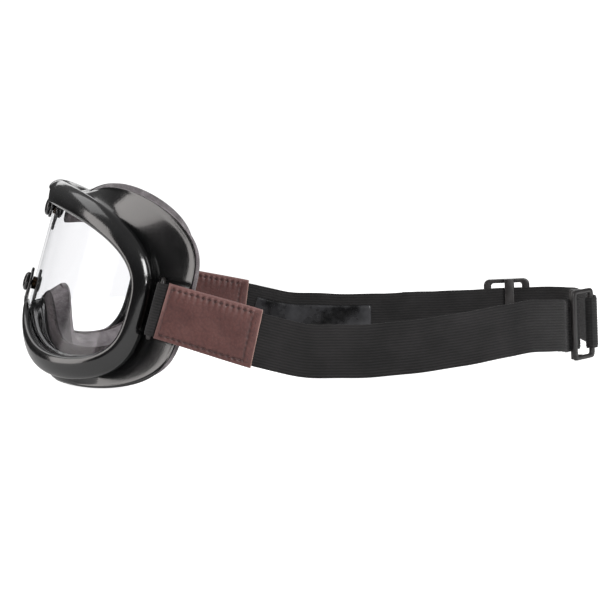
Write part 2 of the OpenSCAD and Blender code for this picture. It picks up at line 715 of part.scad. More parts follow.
// Rubber grip strips on the head side of both straps, behind the sleeves
grip_from = 1;
grip_to = 14;
grip_off = (elastic_thick + grip_thick) / 2 + 0.05;
function part_of(run, a, b) = [for (i = [a:b]) run[i]];
module left_grip_strip() {
    color([0.1, 0.1, 0.105])
    band(part_of(left_run, grip_from, grip_to), grip_width, grip_thick, -grip_off);
}
module right_grip_strip() {
    color([0.1, 0.1, 0.105])
    band(part_of(right_run, grip_from, grip_to), grip_width, grip_thick, grip_off);
}

// Leather panels follow the elastic between them
leather_off = elastic_thick / 2 + fit_gap + leather_thick / 2;
leather_steps = concat(part_of(spread_steps, 1, 4), [(sleeve_flat + sleeve_rear) / 2, sleeve_rear]);
// How far the sleeve's rear edge runs back for each millimetre down
sleeve_skew = 0.08;
module leather(side, tilt, face) {
    run = [for (y = leather_steps) sleeve_point(side, tilt, y, face * spread(y))];
    last = len(run) - 1;
    color([0.4, 0.26, 0.24])
    run_solid([
        for (i = [0:last])
            let(ring = band_ring(run, i, post_up, leather_height, leather_thick, side * face * leather_off))
            let(back = sleeve_skew * (leather_steps[i] - sleeve_front) / leather_length, h = heading(run, i))
            [for (p = ring) p - back * ((p - run[i]) * post_up) * h]
    ]);
}
module left_leather_outer() {
    leather(1, left_tilt, 1);
}
module left_leather_inner() {
    leather(1, left_tilt, -1);
}
module right_leather_outer() {
    leather(-1, right_tilt, 1);
}
module right_leather_inner() {
    leather(-1, right_tilt, -1);
}

// Stitches round the edge of both leather panels of a sleeve
stitch_pitch = 3.6;
stitch_long = 2.6;
stitch_wide = 0.6;
stitch_high = 0.35;
stitch_inset = 2.2;
module stitches(side, tilt) {
    face = layer + leather_off + leather_thick / 2 + 0.05;
    first = sleeve_flat - sleeve_front + 0.9;
    last = leather_length - stitch_inset;
    rows = leather_height / 2 - stitch_inset;
    along = floor((last - first) / stitch_pitch);
    up = floor(2 * rows / stitch_pitch) - 1;
    color([0.2, 0.12, 0.11])
    placed()
    translate([side * post_side, sleeve_front, post_z]) rotate([-tilt, 0, 0])
    for (x = [face, -face - stitch_high]) translate([side * (x + stitch_high / 2) - stitch_high / 2, 0, 0]) {
        for (k = [0:along - 1]) for (z = [-rows, rows])
            translate([0, first + (k + 0.5) * stitch_pitch - stitch_long / 2, z - stitch_wide / 2])
                cube([stitch_high, stitch_long, stitch_wide]);
        for (k = [0:up]) for (y = [first - 0.4, last])
            let(z = (k - up / 2) * stitch_pitch)
            translate([0, y - sleeve_skew * z * (y / leather_length) - stitch_wide / 2, z - stitch_long / 2])
                cube([stitch_high, stitch_wide, stitch_long]);
    }
}
module left_leather_stitches() {
    stitches(1, left_tilt);
}
module right_leather_stitches() {
    stitches(-1, right_tilt);
}

module rear_buckle() {
    color([0.07, 0.07, 0.075])
    translate(buckle_mid) rotate([0, 0, 90 + buckle_turn]) strap_frame();
}
slider_plane = side_x + bar_gap - fit_gap - elastic_thick / 2;
module strap_slider() {
    color([0.07, 0.07, 0.075])
    translate([-slider_plane, slider_rest, strap_level]) rotate([0, 0, -90]) strap_frame();
}

frame();
lens();
face_foam();
foam_facing();
top_tongue();
top_snap_cap();
top_snap_socket();
top_snap_stud();
top_stud_tab();
nose_tongue();
nose_snap_cap();
nose_snap_socket();
nose_snap_stud();
nose_stud_tab();
left_strap_post();
right_strap_post();
left_leather_outer();
left_leather_inner();
left_leather_stitches();
right_leather_outer();
right_leather_inner();
right_leather_stitches();
left_strap();
right_strap();
left_grip_strip();
right_grip_strip();
rear_buckle();
strap_slider();
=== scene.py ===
import bpy
import numpy as np
from mathutils import Matrix


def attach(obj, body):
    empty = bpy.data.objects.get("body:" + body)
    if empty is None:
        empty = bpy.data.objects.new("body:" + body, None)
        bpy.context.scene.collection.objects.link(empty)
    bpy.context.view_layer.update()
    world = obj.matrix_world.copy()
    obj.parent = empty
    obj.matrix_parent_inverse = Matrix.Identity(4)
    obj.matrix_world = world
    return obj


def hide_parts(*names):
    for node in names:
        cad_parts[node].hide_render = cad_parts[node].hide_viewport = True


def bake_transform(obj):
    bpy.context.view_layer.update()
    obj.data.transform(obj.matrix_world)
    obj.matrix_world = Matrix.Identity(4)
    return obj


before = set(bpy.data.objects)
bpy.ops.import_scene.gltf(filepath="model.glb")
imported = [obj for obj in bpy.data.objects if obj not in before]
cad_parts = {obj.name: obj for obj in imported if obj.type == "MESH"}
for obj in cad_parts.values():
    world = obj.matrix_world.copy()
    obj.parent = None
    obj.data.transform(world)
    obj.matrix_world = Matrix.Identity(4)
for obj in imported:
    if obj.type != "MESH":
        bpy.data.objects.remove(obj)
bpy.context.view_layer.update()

# All lengths below are millimetres, in the part's own frame; meshes are put in metres
MM = 0.001
GOGGLES, UPPER, NOSE, SLIDER = "goggles", "upper_flap", "nose_flap", "slider"

# Lens and opening
LENS_R = 76.0
LENS_T = 1.0
LENS_GRIP = 3.6
OPENING = dict(half=89.5, level=-45.0, top=35.2, bottom=34.6, arch=21.5, arch_w=35.0)
# Frame
RIM_W = 10.2
RIM_FLAT = 0.7
RIM_TALL = 1.2
RIM_LEVEL = -44.0
LOWER_CURVE = 3.4
BEAD = 4.6
WALL = 2.6
WALL_ROOT = 0.66
WALL_ROOT_DEPTH = 5.5
WALL_CURL = 1.3
EDGE_BEAD = 1.2
RIM_SIDE = (LENS_R - WALL_ROOT_DEPTH) * np.sin((OPENING["half"] + WALL_ROOT * (RIM_W - RIM_FLAT)) / LENS_R)
REAR = dict(half=RIM_SIDE + 9.4, level=-39.0, top=48.6, bottom=51.0, arch=31.5, arch_w=21.0, dip=12.0)
FACE_FRONT = 15.5
FACE_SWEEP = 86.0
FACE_HALF = REAR["half"] + 4
PITCH = np.radians(17.4)
DIP_W = 36.0
# Foam and facing
FOAM_W = 9.0
FOAM_D = 7.0
FOAM_GAP = 0.55
FOAM_LEAN = 12.0
FACING = 2.6
FACING_OVER = EDGE_BEAD * 0.6
FACING_BEVEL = 0.6
# Snap sets
FIT = 0.2
SEAT = 0.3
TONGUE_W = 15.0
TONGUE_T = 1.4
TONGUE_GAP = 1.2
TOP_DROP = 11.4
CAP_D = 9.2
CAP_H = 2.5
BARREL_D = 6.2
POST_D = 3.4
UPPER_BACK = 0.9
ARCH_LEVEL = OPENING["level"] - OPENING["bottom"] + OPENING["arch"]
NOSE_DROP = -ARCH_LEVEL - 8.4
# Strap
ELASTIC_W = 25.0
ELASTIC_T = 1.1
RIBS = 19
LEATHER_T = 1.4
LEATHER_L = 46.6
LEATHER_H = 27.6
LEATHER_TAPER = 0.955
LEFT_TILT, RIGHT_TILT = 1.7, -3.7
GRIP_W = 13.0
GRIP_T = 0.5
WIRE_D = 2.3
POST_Z = -41.7
STRAP_LEVEL = 17.8
# Buckle and slider
BUCKLE_W = 24.0
END_BAR = 3.9
MIDDLE_BAR = 5.0
BAR_T = 1.8
RAIL = 2.1
BUCKLE_TURN = np.radians(57.0)


def bell(x, w, n=2):
    """Bell of height 1: e to the minus nth power of the distance over the width."""
    return np.exp(-(np.abs(x) / w) ** n)


def mix(a, b, s):
    """Value a share s of the way from a to b."""
    return a + (b - a) * s


def ease(s):
    """Smooth step: three times the square less twice the cube, held between 0 and 1."""
    q = np.clip(s, 0, 1)
    return q * q * (3 - 2 * q)


def unit(v):
    return v / np.maximum(np.linalg.norm(v, axis=-1, keepdims=True), 1e-12)


def together(*parts):
    """Array of points from their coordinates, each of which may be one number, a line or a grid."""
    return np.stack(np.broadcast_arrays(*parts), -1)


def circle(count):
    """Evenly spaced angles once round."""
    return np.linspace(0, 2 * np.pi, count, endpoint=False)


def run_length(line):
    """Length along a line of points, from its first one."""
    return np.concatenate([[0], np.cumsum(np.linalg.norm(np.diff(line, axis=0), axis=1))])


def resampled(line, at):
    """Points of a line at lengths along it."""
    run = run_length(line)
    return np.stack([np.interp(at, run, column) for column in line.T], 1)


# Shape of the goggles


def outline(t, half, level, top, bottom, upper, lower, arch, arch_w, dip, flank=2):
    """Superellipse with its own exponent above and below, a bell-shaped nose arch and a bell-shaped dip."""
    up = np.sin(t) >= 0
    n = np.where(up, upper, lower)
    x = half * np.sign(np.cos(t)) * np.abs(np.cos(t)) ** (2 / n)
    rise = np.abs(np.sin(t)) ** (2 / n)
    low = level - bottom * rise + arch * bell(x, arch_w, flank)
    return x, np.where(up, level + top * rise - dip * bell(x, DIP_W), low)


def opening_at(f):
    """Sizes of the outline that lies a share f of the rim's width outside the lens opening."""
    o = OPENING
    half, tall = o["half"] + f * (RIM_W - RIM_FLAT), f * (RIM_W + RIM_TALL)
    return (
        half, mix(o["level"], RIM_LEVEL, f), o["top"] + tall, o["bottom"] + tall, mix(2.8, 2.65, f),
        o["arch"] + 2.5 * f, o["arch_w"] - 2 * f,
    )


def rim_outline(t, f):
    """Outline a share f of the rim's width outside the lens opening."""
    half, level, top, bottom, upper, arch, arch_w = opening_at(f)
    return outline(t, half, level, top, bottom, upper, LOWER_CURVE, arch, arch_w, 0.0)


def rear_outline(t, d):
    """Rear outline a distance d inside the outer surface of the wall."""
    o = REAR
    return outline(
        t, o["half"] - d, o["level"], o["top"] - d, o["bottom"] - d, 5.0, 4.6 - 0.1 * np.maximum(0.0, d),
        o["arch"], o["arch_w"] + 0.32 * d, o["dip"], 3,
    )


def bent(u, z, e):
    """Point at u along the lens's bend and z up, e behind its front surface."""
    a = u / LENS_R
    r = LENS_R - e
    return together(r * np.sin(a), LENS_R - r * np.cos(a), z)


def rim_point(t, f, e):
    """Point of the rim: a share f of its width outside the opening, e behind the lens's front surface."""
    u, z = rim_outline(t, f)
    return bent(u, z, e)


def bead_scale(t):
    """Share of the bead's full height: 1 above, and less a bell of 0.6 at the nose below."""
    return np.where(np.sin(t) > 0, 1.0, 1 - 0.6 * bell(rim_outline(t, 0.5)[0], 30.0))


LIP_CUT = (TOP_DROP - CAP_D / 2 - 1.9 + OPENING["level"] + OPENING["top"]) / -RIM_W


def lip_start(t):
    """Share of the rim's width where the front lip starts: cut back at the upper tongue, eased beside it."""
    u = np.abs(rim_outline(t, 0.0)[0])
    return np.where(np.sin(t) < 0, 0.0, LIP_CUT * ease((TONGUE_W / 2 + 6.5 - u) / 4))


def wall_point(t, s, d):
    """Point on the wall: s runs from the rim to the rear edge, d inside the outer surface."""
    a = rim_point(t, WALL_ROOT - d / RIM_W, WALL_ROOT_DEPTH)
    x, z = rear_outline(t, d)
    edge = rear_outline(t, 0.0)[0]
    lean = FOAM_LEAN * np.abs(edge / REAR["half"]) ** 3 * np.maximum(0.0, d - WALL) / FOAM_W
    y = FACE_FRONT + FACE_SWEEP * (1 - np.sqrt(1 - (edge / FACE_HALF) ** 2)) - FACING - lean
    c = s ** WALL_CURL
    return together(mix(a[..., 0], x, c), mix(a[..., 1], y, s), mix(a[..., 2], z, c))


def wall_share(t, before):
    """Share of the wall's run at a distance before its rear edge."""
    a, b = wall_point(t, 0.0, WALL), wall_point(t, 1.0, WALL)
    return 1 - before / (b[..., 1] - a[..., 1])


def around(count):
    """Angles that space points evenly along the middle of the rim."""
    fine = np.radians(-90 + 360 * np.arange(2881) / 2880)
    x, z = rim_outline(fine, 0.5)
    run = np.concatenate([[0], np.cumsum(np.hypot(np.diff(x), np.diff(z)))])
    return np.interp(run[-1] * np.arange(count) / count, run, fine)


TURN = np.array([[1, 0, 0], [0, np.cos(PITCH), np.sin(PITCH)], [0, -np.sin(PITCH), np.cos(PITCH)]])


def lowest_level():
    """Height of the rear edge's lowest point once the goggles lean back."""
    t = around(96)
    rows = [(-EDGE_BEAD, 0.0), (-FACING_OVER, 0.8 * FACING), (FACING_BEVEL, FACING)]
    return min(((wall_point(t, 1.0, d) + [0, y, 0]) @ TURN.T)[:, 2].min() for d, y in rows)


# The whole object is centred along its length and stands on the ground
PLACE = np.array([0.0, -121.04, -lowest_level()])


def lie(p):
    """Leans a point of the goggles back and stands it in its place."""
    return np.asarray(p, float) @ TURN.T + PLACE


# Meshes


def put_object(name, data):
    """New object in the scene for a mesh, a lamp or a camera."""
    piece = bpy.data.objects.new(name, data)
    bpy.context.scene.collection.objects.link(piece)
    return piece


def put_mesh(name, points, faces, smooth=True):
    """Mesh object from points in millimetres and lists of corners."""
    mesh = bpy.data.meshes.new(name)
    mesh.from_pydata((np.asarray(points, float).reshape(-1, 3) * MM).tolist(), [], faces)
    mesh.validate()
    mesh.polygons.foreach_set("use_smooth", [smooth] * len(mesh.polygons))
    mesh.update()
    return put_object(name, mesh)


def quads(rows, cols, closed=False):
    """Corners of the faces between rings of points, as an array of four numbers a face."""
    r = np.arange(rows if closed else rows - 1)[:, None]
    c = np.arange(cols)[None, :]
    r2, c2 = (r + 1) % rows, (c + 1) % cols
    return np.stack([r * cols + c, r * cols + c2, r2 * cols + c2, r2 * cols + c], -1).reshape(-1, 4)


def turn_outward(grid, faces):
    """Reverses the faces where the volume that they enclose comes out negative."""
    p = grid.reshape(-1, 3)
    a, b, c, d = (p[faces[:, k]] for k in range(4))
    volume = np.einsum("ij,ij->", a, np.cross(b, c)) + np.einsum("ij,ij->", a, np.cross(c, d))
    return faces[:, ::-1] if volume < 0 else faces


def end_caps(rows, cols):
    """Corners of the two faces that close a tube."""
    return [list(range(cols))[::-1], [(rows - 1) * cols + i for i in range(cols)]]


def ring_mesh(name, rings):
    """Closed tube round a loop: rings[k, i] is point i of line k, and both directions close."""
    faces = turn_outward(rings, quads(*rings.shape[:2], True))
    return put_mesh(name, rings, faces.tolist())


def run_mesh(name, rings):
    """Tube with a flat cap at each end: rings[k, i] is point i of cross-section k."""
    faces = quads(*rings.shape[:2])
    outward = turn_outward(rings, faces)
    caps = end_caps(*rings.shape[:2])
    if outward is not faces:
        caps = [cap[::-1] for cap in caps]
    return put_mesh(name, rings, outward.tolist() + caps)


def softened(rings, steps):
    """Closed cubic B-spline through lines of control points, steps points to each: rounds every corner."""
    s = (np.arange(steps) / steps)[None, :, None, None]
    a, b, c, d = (np.roll(rings, k, axis=0)[:, None] for k in (1, 0, -1, -2))
    p = (1 - s) ** 3 * a + (3 * s ** 3 - 6 * s ** 2 + 4) * b
    p = p + (-3 * s ** 3 + 3 * s ** 2 + 3 * s + 1) * c + s ** 3 * d
    return (p / 6).reshape(-1, *rings.shape[1:])


def flowing(points, steps):
    """Catmull-Rom curve through every point, steps points to each stretch."""
    p = np.concatenate([[2 * points[0] - points[1]], points, [2 * points[-1] - points[-2]]])
    s = (np.arange(steps) / steps)[None, :, None]
    a, b, c, d = (p[k:len(p) - 3 + k][:, None] for k in range(4))
    q = 0.5 * (2 * b + (c - a) * s + (2 * a - 5 * b + 4 * c - d) * s ** 2 + (3 * b - a - 3 * c + d) * s ** 3)
    return np.concatenate([q.reshape(-1, points.shape[1]), points[-1:]])


def turned(name, pairs, place):
    """Surface of revolution about a snap's axis: pairs of radius and depth, pole to pole or round a loop."""
    steps = 64
    a = circle(steps)
    r, e = np.array(pairs, float).T[..., None]
    grid = place(together(r * np.cos(a), e, r * np.sin(a)))
    if r[0] > 0.05:
        return ring_mesh(name, grid)
    rows = len(grid)
    faces = turn_outward(grid, quads(rows, steps))
    # Each end is one point that a fan of triangles meets
    first, last = ([0, 2, 3], [0, 1, 2]) if faces[0, 0] == 0 else ([0, 1, 2], [0, 2, 3])
    faces = np.clip(np.arange(rows * steps) - steps + 1, 0, (rows - 2) * steps + 1)[faces]
    points = np.concatenate([grid[0, :1], grid[1:-1].reshape(-1, 3), grid[-1, :1]])
    fans = faces[:steps, first].tolist(), faces[-steps:, last].tolist()
    return put_mesh(name, points, fans[0] + faces[steps:-steps].tolist() + fans[1])


# Finishes


def linear(code):
    """Linear colour from an sRGB hex code."""
    c = np.array([int(code[k:k + 2], 16) / 255 for k in (1, 3, 5)])
    c = np.where(c <= 0.04045, c / 12.92, ((c + 0.055) / 1.055) ** 2.4)
    return (*c.tolist(), 1.0)


def add(tree, kind, inputs=None, **settings):
    """Adds a node to a tree, or to a socket's tree: settings are its properties, inputs its sockets' values
    or the sockets that feed them."""
    tree = tree.id_data
    node = tree.nodes.new(kind)
    for key, value in settings.items():
        setattr(node, key, value)
    for key, value in (inputs or {}).items():
        if isinstance(value, bpy.types.NodeSocket):
            tree.links.new(value, node.inputs[key])
        else:
            node.inputs[key].default_value = value
    return node


def finish(name):
    """Turns a function into a material: it takes the place in millimetres, adds nodes to that socket's tree,
    and gives back a shader or the inputs of a principled one."""
    def build(fill):
        material = bpy.data.materials.new(name)
        material.use_nodes = True
        tree = material.node_tree
        tree.nodes.clear()
        place = add(tree, "ShaderNodeTexCoord").outputs["Object"]
        mm = add(tree, "ShaderNodeVectorMath", {0: place, 1: (1 / MM,) * 3}, operation="MULTIPLY").outputs[0]
        shader = fill(mm)
        if isinstance(shader, dict):
            shader = add(tree, "ShaderNodeBsdfPrincipled", shader)
        add(tree, "ShaderNodeOutputMaterial", {"Surface": shader.outputs[0]})
        return material

    return build


def maths(operation, *values):
    """Result of a maths node on one to three values, the first of them a socket."""
    return add(values[0], "ShaderNodeMath", dict(enumerate(values)), operation=operation).outputs[0]


def mixed(share, under, over):
    """Colour that lies a share, given by a socket, of the way from one to the other."""
    return add(share, "ShaderNodeMix", {0: share, 6: under, 7: over}, data_type="RGBA").outputs[2]


def noise(mm, size, detail=2.0, rough=0.5, output="Fac"):
    """Noise with features of that size in millimetres."""
    inputs = {"Vector": mm, "Scale": 1 / size, "Detail": detail, "Roughness": rough}
    return add(mm, "ShaderNodeTexNoise", inputs).outputs[output]


def ranged(value, low, high, start=0.3, stop=0.7, **settings):
    """Value from start to stop carried over to low to high."""
    inputs = {"Value": value, "From Min": start, "From Max": stop, "To Min": low, "To Max": high}
    return add(value, "ShaderNodeMapRange", inputs, **settings).outputs[0]


def tinted(value, dark, light, start=0.3, stop=0.7):
    """Colour between two hex codes as a value goes from start to stop."""
    return mixed(ranged(value, 0.0, 1.0, start, stop), linear(dark), linear(light))


def bump(height, depth, strength):
    """Bump from a height whose full range is that depth in millimetres."""
    inputs = {"Height": height, "Distance": depth * MM, "Strength": strength}
    return add(height, "ShaderNodeBump", inputs).outputs[0]


def skin(colour, roughness, normal, **more):
    """Inputs of a principled shader; more holds others by name, with underscores for spaces."""
    inputs = {"Base Color": colour, "Roughness": roughness, "Normal": normal}
    return inputs | {key.replace("_", " "): value for key, value in more.items()}


@finish("soft_pvc_moulding")
def soft_pvc(mm):
    """Soft PVC, injection moulded and polished: deep black with a wet gloss, very slightly uneven."""
    haze = noise(mm, 14.0, 3.0)
    swell = noise(mm, 9.0, 1.0)
    pores = noise(mm, 0.7, 2.0)
    height = maths("ADD", swell, pores)
    return skin(
        tinted(haze, "#0c0c0d", "#131314"), ranged(haze, 0.13, 0.2), bump(height, 0.12, 0.25),
        IOR=1.53, Coat_Weight=0.4, Coat_Roughness=0.04,
    )


@finish("clear_polycarbonate")
def clear_sheet(mm):
    """Polycarbonate sheet, bent: clear, with a mirror's share that grows towards grazing angles."""
    film = noise(mm, 30.0, 2.0)
    slant = add(mm, "ShaderNodeLayerWeight", {"Blend": 0.5}).outputs["Facing"]
    share = maths("MULTIPLY_ADD", maths("POWER", slant, 5.0), 0.3, 0.012)
    through = add(mm, "ShaderNodeBsdfTransparent", {"Color": (0.975, 0.975, 0.98, 1)})
    mirror = add(mm, "ShaderNodeBsdfPrincipled", {
        "Base Color": linear("#f4f6f7"),
        "Metallic": 1.0,
        "Roughness": ranged(film, 0.03, 0.07),
    })
    return add(mm, "ShaderNodeMixShader", {0: share, 1: through.outputs[0], 2: mirror.outputs[0]})


@finish("polyurethane_foam")
def open_foam(mm):
    """Open-cell polyurethane foam, cut: dull grey, pitted by its cells, each pit painted darker as shade."""
    cells = add(mm, "ShaderNodeTexVoronoi", {"Vector": mm, "Scale": 1 / 0.75}).outputs["Distance"]
    cloud = noise(mm, 3.2, 4.0, 0.65)
    # Painted shade: the colour darkens into each cell's pit
    pit_shade = ranged(cells, 0.0, 1.0, 0.1, 0.7)
    tone = maths("MULTIPLY", pit_shade, cloud)
    return skin(
        tinted(tone, "#1d1a1b", "#5a5456", 0.08, 0.46), 0.95, bump(cells, 0.35, 0.8),
        Specular_IOR_Level=0.2, Sheen_Weight=0.15,
    )


@finish("brushed_nylon_facing")
def brushed_facing(mm):
    """Brushed nylon knit laid on the foam: pale grey nap with a soft sheen."""
    nap = noise(mm, 0.6, 3.0, 0.75)
    cloud = noise(mm, 5.0, 3.0)
    tone = maths("MULTIPLY", nap, cloud)
    return skin(
        tinted(tone, "#565053", "#979194", 0.12, 0.42), 0.9, bump(nap, 0.25, 0.7),
        Specular_IOR_Level=0.25, Sheen_Weight=0.4, Sheen_Roughness=0.5,
    )


@finish("black_enamel")
def black_enamel(mm):
    """Steel cap, stamped and enamelled black: hard gloss with a little orange peel."""
    peel = noise(mm, 0.9, 1.0)
    wear = noise(mm, 2.2, 4.0)
    return skin(
        tinted(wear, "#0b0b0c", "#181716", 0.4, 0.8), ranged(wear, 0.14, 0.3), bump(peel, 0.03, 0.4),
        IOR=1.52, Coat_Weight=0.5, Coat_Roughness=0.05,
    )


@finish("aged_brass")
def aged_brass(mm):
    """Snap metal, brass left to darken: brown with brighter rubbed places."""
    tarnish = noise(mm, 1.6, 4.0)
    return skin(
        tinted(tarnish, "#2e241c", "#6b5440", 0.35, 0.75), ranged(tarnish, 0.45, 0.25),
        bump(tarnish, 0.03, 0.5), Metallic=1.0,
    )


@finish("stained_leather")
def stained_leather(mm):
    """Split cowhide, stained brown-red, waxed: pebbled grain, dark in the creases, painted shade at the seam,
    rims paler from rubbing and a painted highlight, pale on its cut edge.
    """
    wobble = noise(mm, 2.0, output="Color")
    bent_mm = add(mm, "ShaderNodeVectorMath", {0: mm, 1: wobble}, operation="ADD").outputs[0]
    cells = {"Vector": bent_mm, "Scale": 1 / 1.1}
    pebbles = add(mm, "ShaderNodeTexVoronoi", cells, feature="SMOOTH_F1").outputs["Distance"]
    creases = noise(mm, 3.5, 4.0, 0.6)
    stain = noise(mm, 11.0, 3.0)
    # Shares that the panels carry at each point: cut edge, drawn-in seam painted dark as shade, rim paler
    # from rubbing and from a painted highlight
    edge, seam, rubbed_and_highlit = (
        add(mm, "ShaderNodeAttribute", attribute_name=name).outputs["Fac"]
        for name in ("edge", "seam", "rubbed_and_highlit")
    )
    grain = ranged(pebbles, 1.08, 0.78, 0.15, 0.75)
    grain = add(mm, "ShaderNodeCombineColor", {0: grain, 1: grain, 2: grain}).outputs[0]
    inputs = {0: 1.0, 6: tinted(stain, "#492522", "#5b3632"), 7: grain}
    colour = add(mm, "ShaderNodeMix", inputs, data_type="RGBA", blend_type="MULTIPLY").outputs[2]
    # Painted shade: darker along the drawn-in seam and at its needle holes
    colour = mixed(ranged(seam, 0.0, 0.8, 0.0, 1.0), colour, linear("#260d0c"))
    # Paler rims: partly rubbed wear, partly a painted highlight that is stronger on the upper rims and on the
    # crests between the upper stitches
    colour = mixed(rubbed_and_highlit, colour, linear("#8a6460"))
    colour = mixed(edge, colour, linear("#b9988c"))
    relief = maths("SUBTRACT", pebbles, creases)
    return skin(
        colour, ranged(pebbles, 0.42, 0.62, 0.1, 0.8), bump(relief, -0.16, 0.7),
        IOR=1.48, Sheen_Weight=0.08,
    )


@finish("waxed_thread")
def waxed_thread(mm):
    """Waxed nylon thread, twisted: dark red-brown with a dull shine."""
    fibre = noise(mm, 0.25, 2.0)
    return skin(tinted(fibre, "#2c1413", "#472523"), 0.55, bump(fibre, 0.06, 0.6), Sheen_Weight=0.2)


@finish("woven_elastic")
def woven_elastic(mm):
    """Woven elastic of black polyester over rubber cores: lengthwise ribs crossed by fine wefts, matt."""
    place = add(mm, "ShaderNodeUVMap", uv_map="run").outputs[0]
    along, across = add(mm, "ShaderNodeSeparateXYZ", {0: place}).outputs[:2]
    # The run map holds millimetres along and across; a weft is 0.55 mm and a yarn pair 1 mm
    weft = maths("MULTIPLY", along, 2 * np.pi / 0.55)
    shift = maths("SINE", maths("MULTIPLY", across, 2 * np.pi))
    knit = maths("SINE", maths("MULTIPLY_ADD", shift, 1.4, weft))
    fuzz = noise(mm, 0.4, 3.0, 0.7)
    cloud = noise(mm, 18.0, 3.0)
    height = maths("MULTIPLY_ADD", knit, 0.5, fuzz)
    # Painted light: the ribs' grooves are painted darker as shade, and their crests and the weave's raised
    # yarns paler as highlight
    turn = maths("MULTIPLY_ADD", across, 2 * np.pi * RIBS / ELASTIC_W, np.pi * RIBS)
    tone = maths("MULTIPLY_ADD", height, 0.3, cloud)
    tone = maths("MULTIPLY_ADD", maths("COSINE", turn), 0.2, tone)
    return skin(
        tinted(tone, "#060606", "#2c2a2b", 0.3, 1.25), 0.82, bump(height, 0.1, 0.6),
        Specular_IOR_Level=0.35, Sheen_Weight=0.12, Sheen_Roughness=0.45,
    )


@finish("silicone_grip")
def silicone(mm):
    """Silicone print on the elastic, poured: black, glossy and softly uneven, with lighter patches painted on
    as smeared highlights.
    """
    wave = noise(mm, 9.0, 2.0)
    smeared_sheen = noise(mm, 13.0, 4.0)
    # Painted highlight: lighter grey smears, which are also rougher
    return skin(
        tinted(smeared_sheen, "#0f0f10", "#3b3b3e", 0.42, 0.7), ranged(smeared_sheen, 0.12, 0.4), bump(wave, 0.5, 0.5),
        IOR=1.43,
    )


@finish("black_acetal")
def acetal(mm):
    """Acetal resin, injection moulded: black with a soft shine and faint flow marks."""
    flow = noise(mm, 5.0, 3.0)
    grit = noise(mm, 0.4, 2.0)
    return skin(
        tinted(flow, "#1d1b1b", "#2e2b2b"), ranged(flow, 0.3, 0.42), bump(grit, 0.02, 0.5),
        IOR=1.48,
    )


def dress(piece, material, body, slot, *nodes):
    """Gives a new piece its finish, the body that it rides on and the nodes that it stands for; its slot is
    not used.
    """
    piece.data.materials.append(material)
    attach(piece, body)
    if nodes:
        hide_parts(*nodes)


# Frame, foam, facing and lens

loop = around(420)
start, half_way = wall_share(loop, FOAM_D), wall_share(loop, FOAM_D / 2)
cut = lip_start(loop)
bead = BEAD * bead_scale(loop)
LIP_BACK = LENS_T + FIT + 1.0
groove = (LENS_GRIP + SEAT) / RIM_W
# Along the cheeks and the nose the wall's bead laps back over the facing's edge
low = ease((-np.sin(loop) - 0.1) / 0.4)
lap = 1.6 * low
bead_out = mix(0.5, 0.35, low)
d0 = WALL + FOAM_GAP
d1 = d0 + FOAM_W
# A ledge inside the wall carries the foam; where the wall is short it runs straight down to the groove's lip
ledge = np.maximum(0.0, wall_share(loop, FOAM_D + 0.4))
ledge_front = np.maximum(0.0, wall_share(loop, FOAM_D + 2.0))
wall_run = FOAM_D / (1 - start)
deep = ease((wall_run - FOAM_D - 3.0) / 8.0)
at_nose = bell(rim_outline(loop, 0.5)[0], 30.0, 4) * low
crest = mix(WALL + 5.0, d1 - 0.6, at_nose)


def on_wall(s, d, back=0.0):
    """Line of points round the wall, moved back by a distance."""
    return wall_point(loop, s, d) + np.multiply.outer(back, [0.0, 1.0, 0.0])


def on_rim(f, e):
    """Line of points round the rim, at a share of its width and a depth."""
    return rim_point(loop, f, e)


def soft_ring(name, rings):
    """Closed ring with softened corners, leaned back with the goggles."""
    return ring_mesh(name, lie(softened(np.stack(rings), 4)))


# Crest of the rim: shares of its width and of its bead's height
section = [(0, 0.0), (0.02, 0.5), (0.09, 0.94), (0.28, 1.05), (0.6, 0.88), (0.9, 0.46), (1.02, -0.1)]
rings = [on_rim(mix(cut, 1.0, a), -bead * b - FIT) for a, b in section]
rings += [on_rim(0.98, 2.6), on_rim(0.78, 4.2)]
# Outer face to the rear edge, over its bead, and inside to the ledge
rings += [on_wall(s, 0.0) for s in (0.03, 0.12, 0.3, 0.5, 0.7, 0.86)]
rings += [on_wall(0.92, -0.2 * bead_out), on_wall(0.955, -bead_out), on_wall(0.985, -bead_out, lap)]
rings += [on_wall(1.0, -bead_out, lap)] * 2 + [on_wall(1.0, -0.1, lap)] * 2 + [on_wall(1.0, 0.1)]
rings += [on_wall(1.0, WALL)] * 2 + [on_wall(half_way, WALL)]
rings += [on_wall(ledge, d) for d in (WALL + 0.4, WALL + 2.4, crest - 0.8, crest)]
rings += [on_wall(ledge_front, crest - 0.4), on_wall(ledge_front, mix(crest - 1.0, WALL + 0.9, deep))]
rings += [on_wall(ledge_front * s, mix(crest - d, WALL, deep)) for s, d in ((0.8, 1.6), (0.3, 2.0))]
# Rear lip, the groove that holds the lens, and the front lip
rings += [on_rim(mix(-0.14, groove, deep), LIP_BACK + mix(1.7, 1.0, deep))]
rings += [on_rim(mix(-0.05, 0.3, deep), LIP_BACK + 0.4)]
rings += [on_rim(cut / 2, LIP_BACK)] * 2 + [on_rim(cut / 2, LENS_T + FIT)] * 2
rings += [on_rim(groove, LENS_T + FIT)] * 2 + [on_rim(np.maximum(groove, cut + 0.02), -FIT)] * 2
rings += [on_rim(cut, -FIT)]
moulding = soft_ring("frame_moulding", rings)
dress(moulding, soft_pvc, GOGGLES, "frame_rubber", "frame")

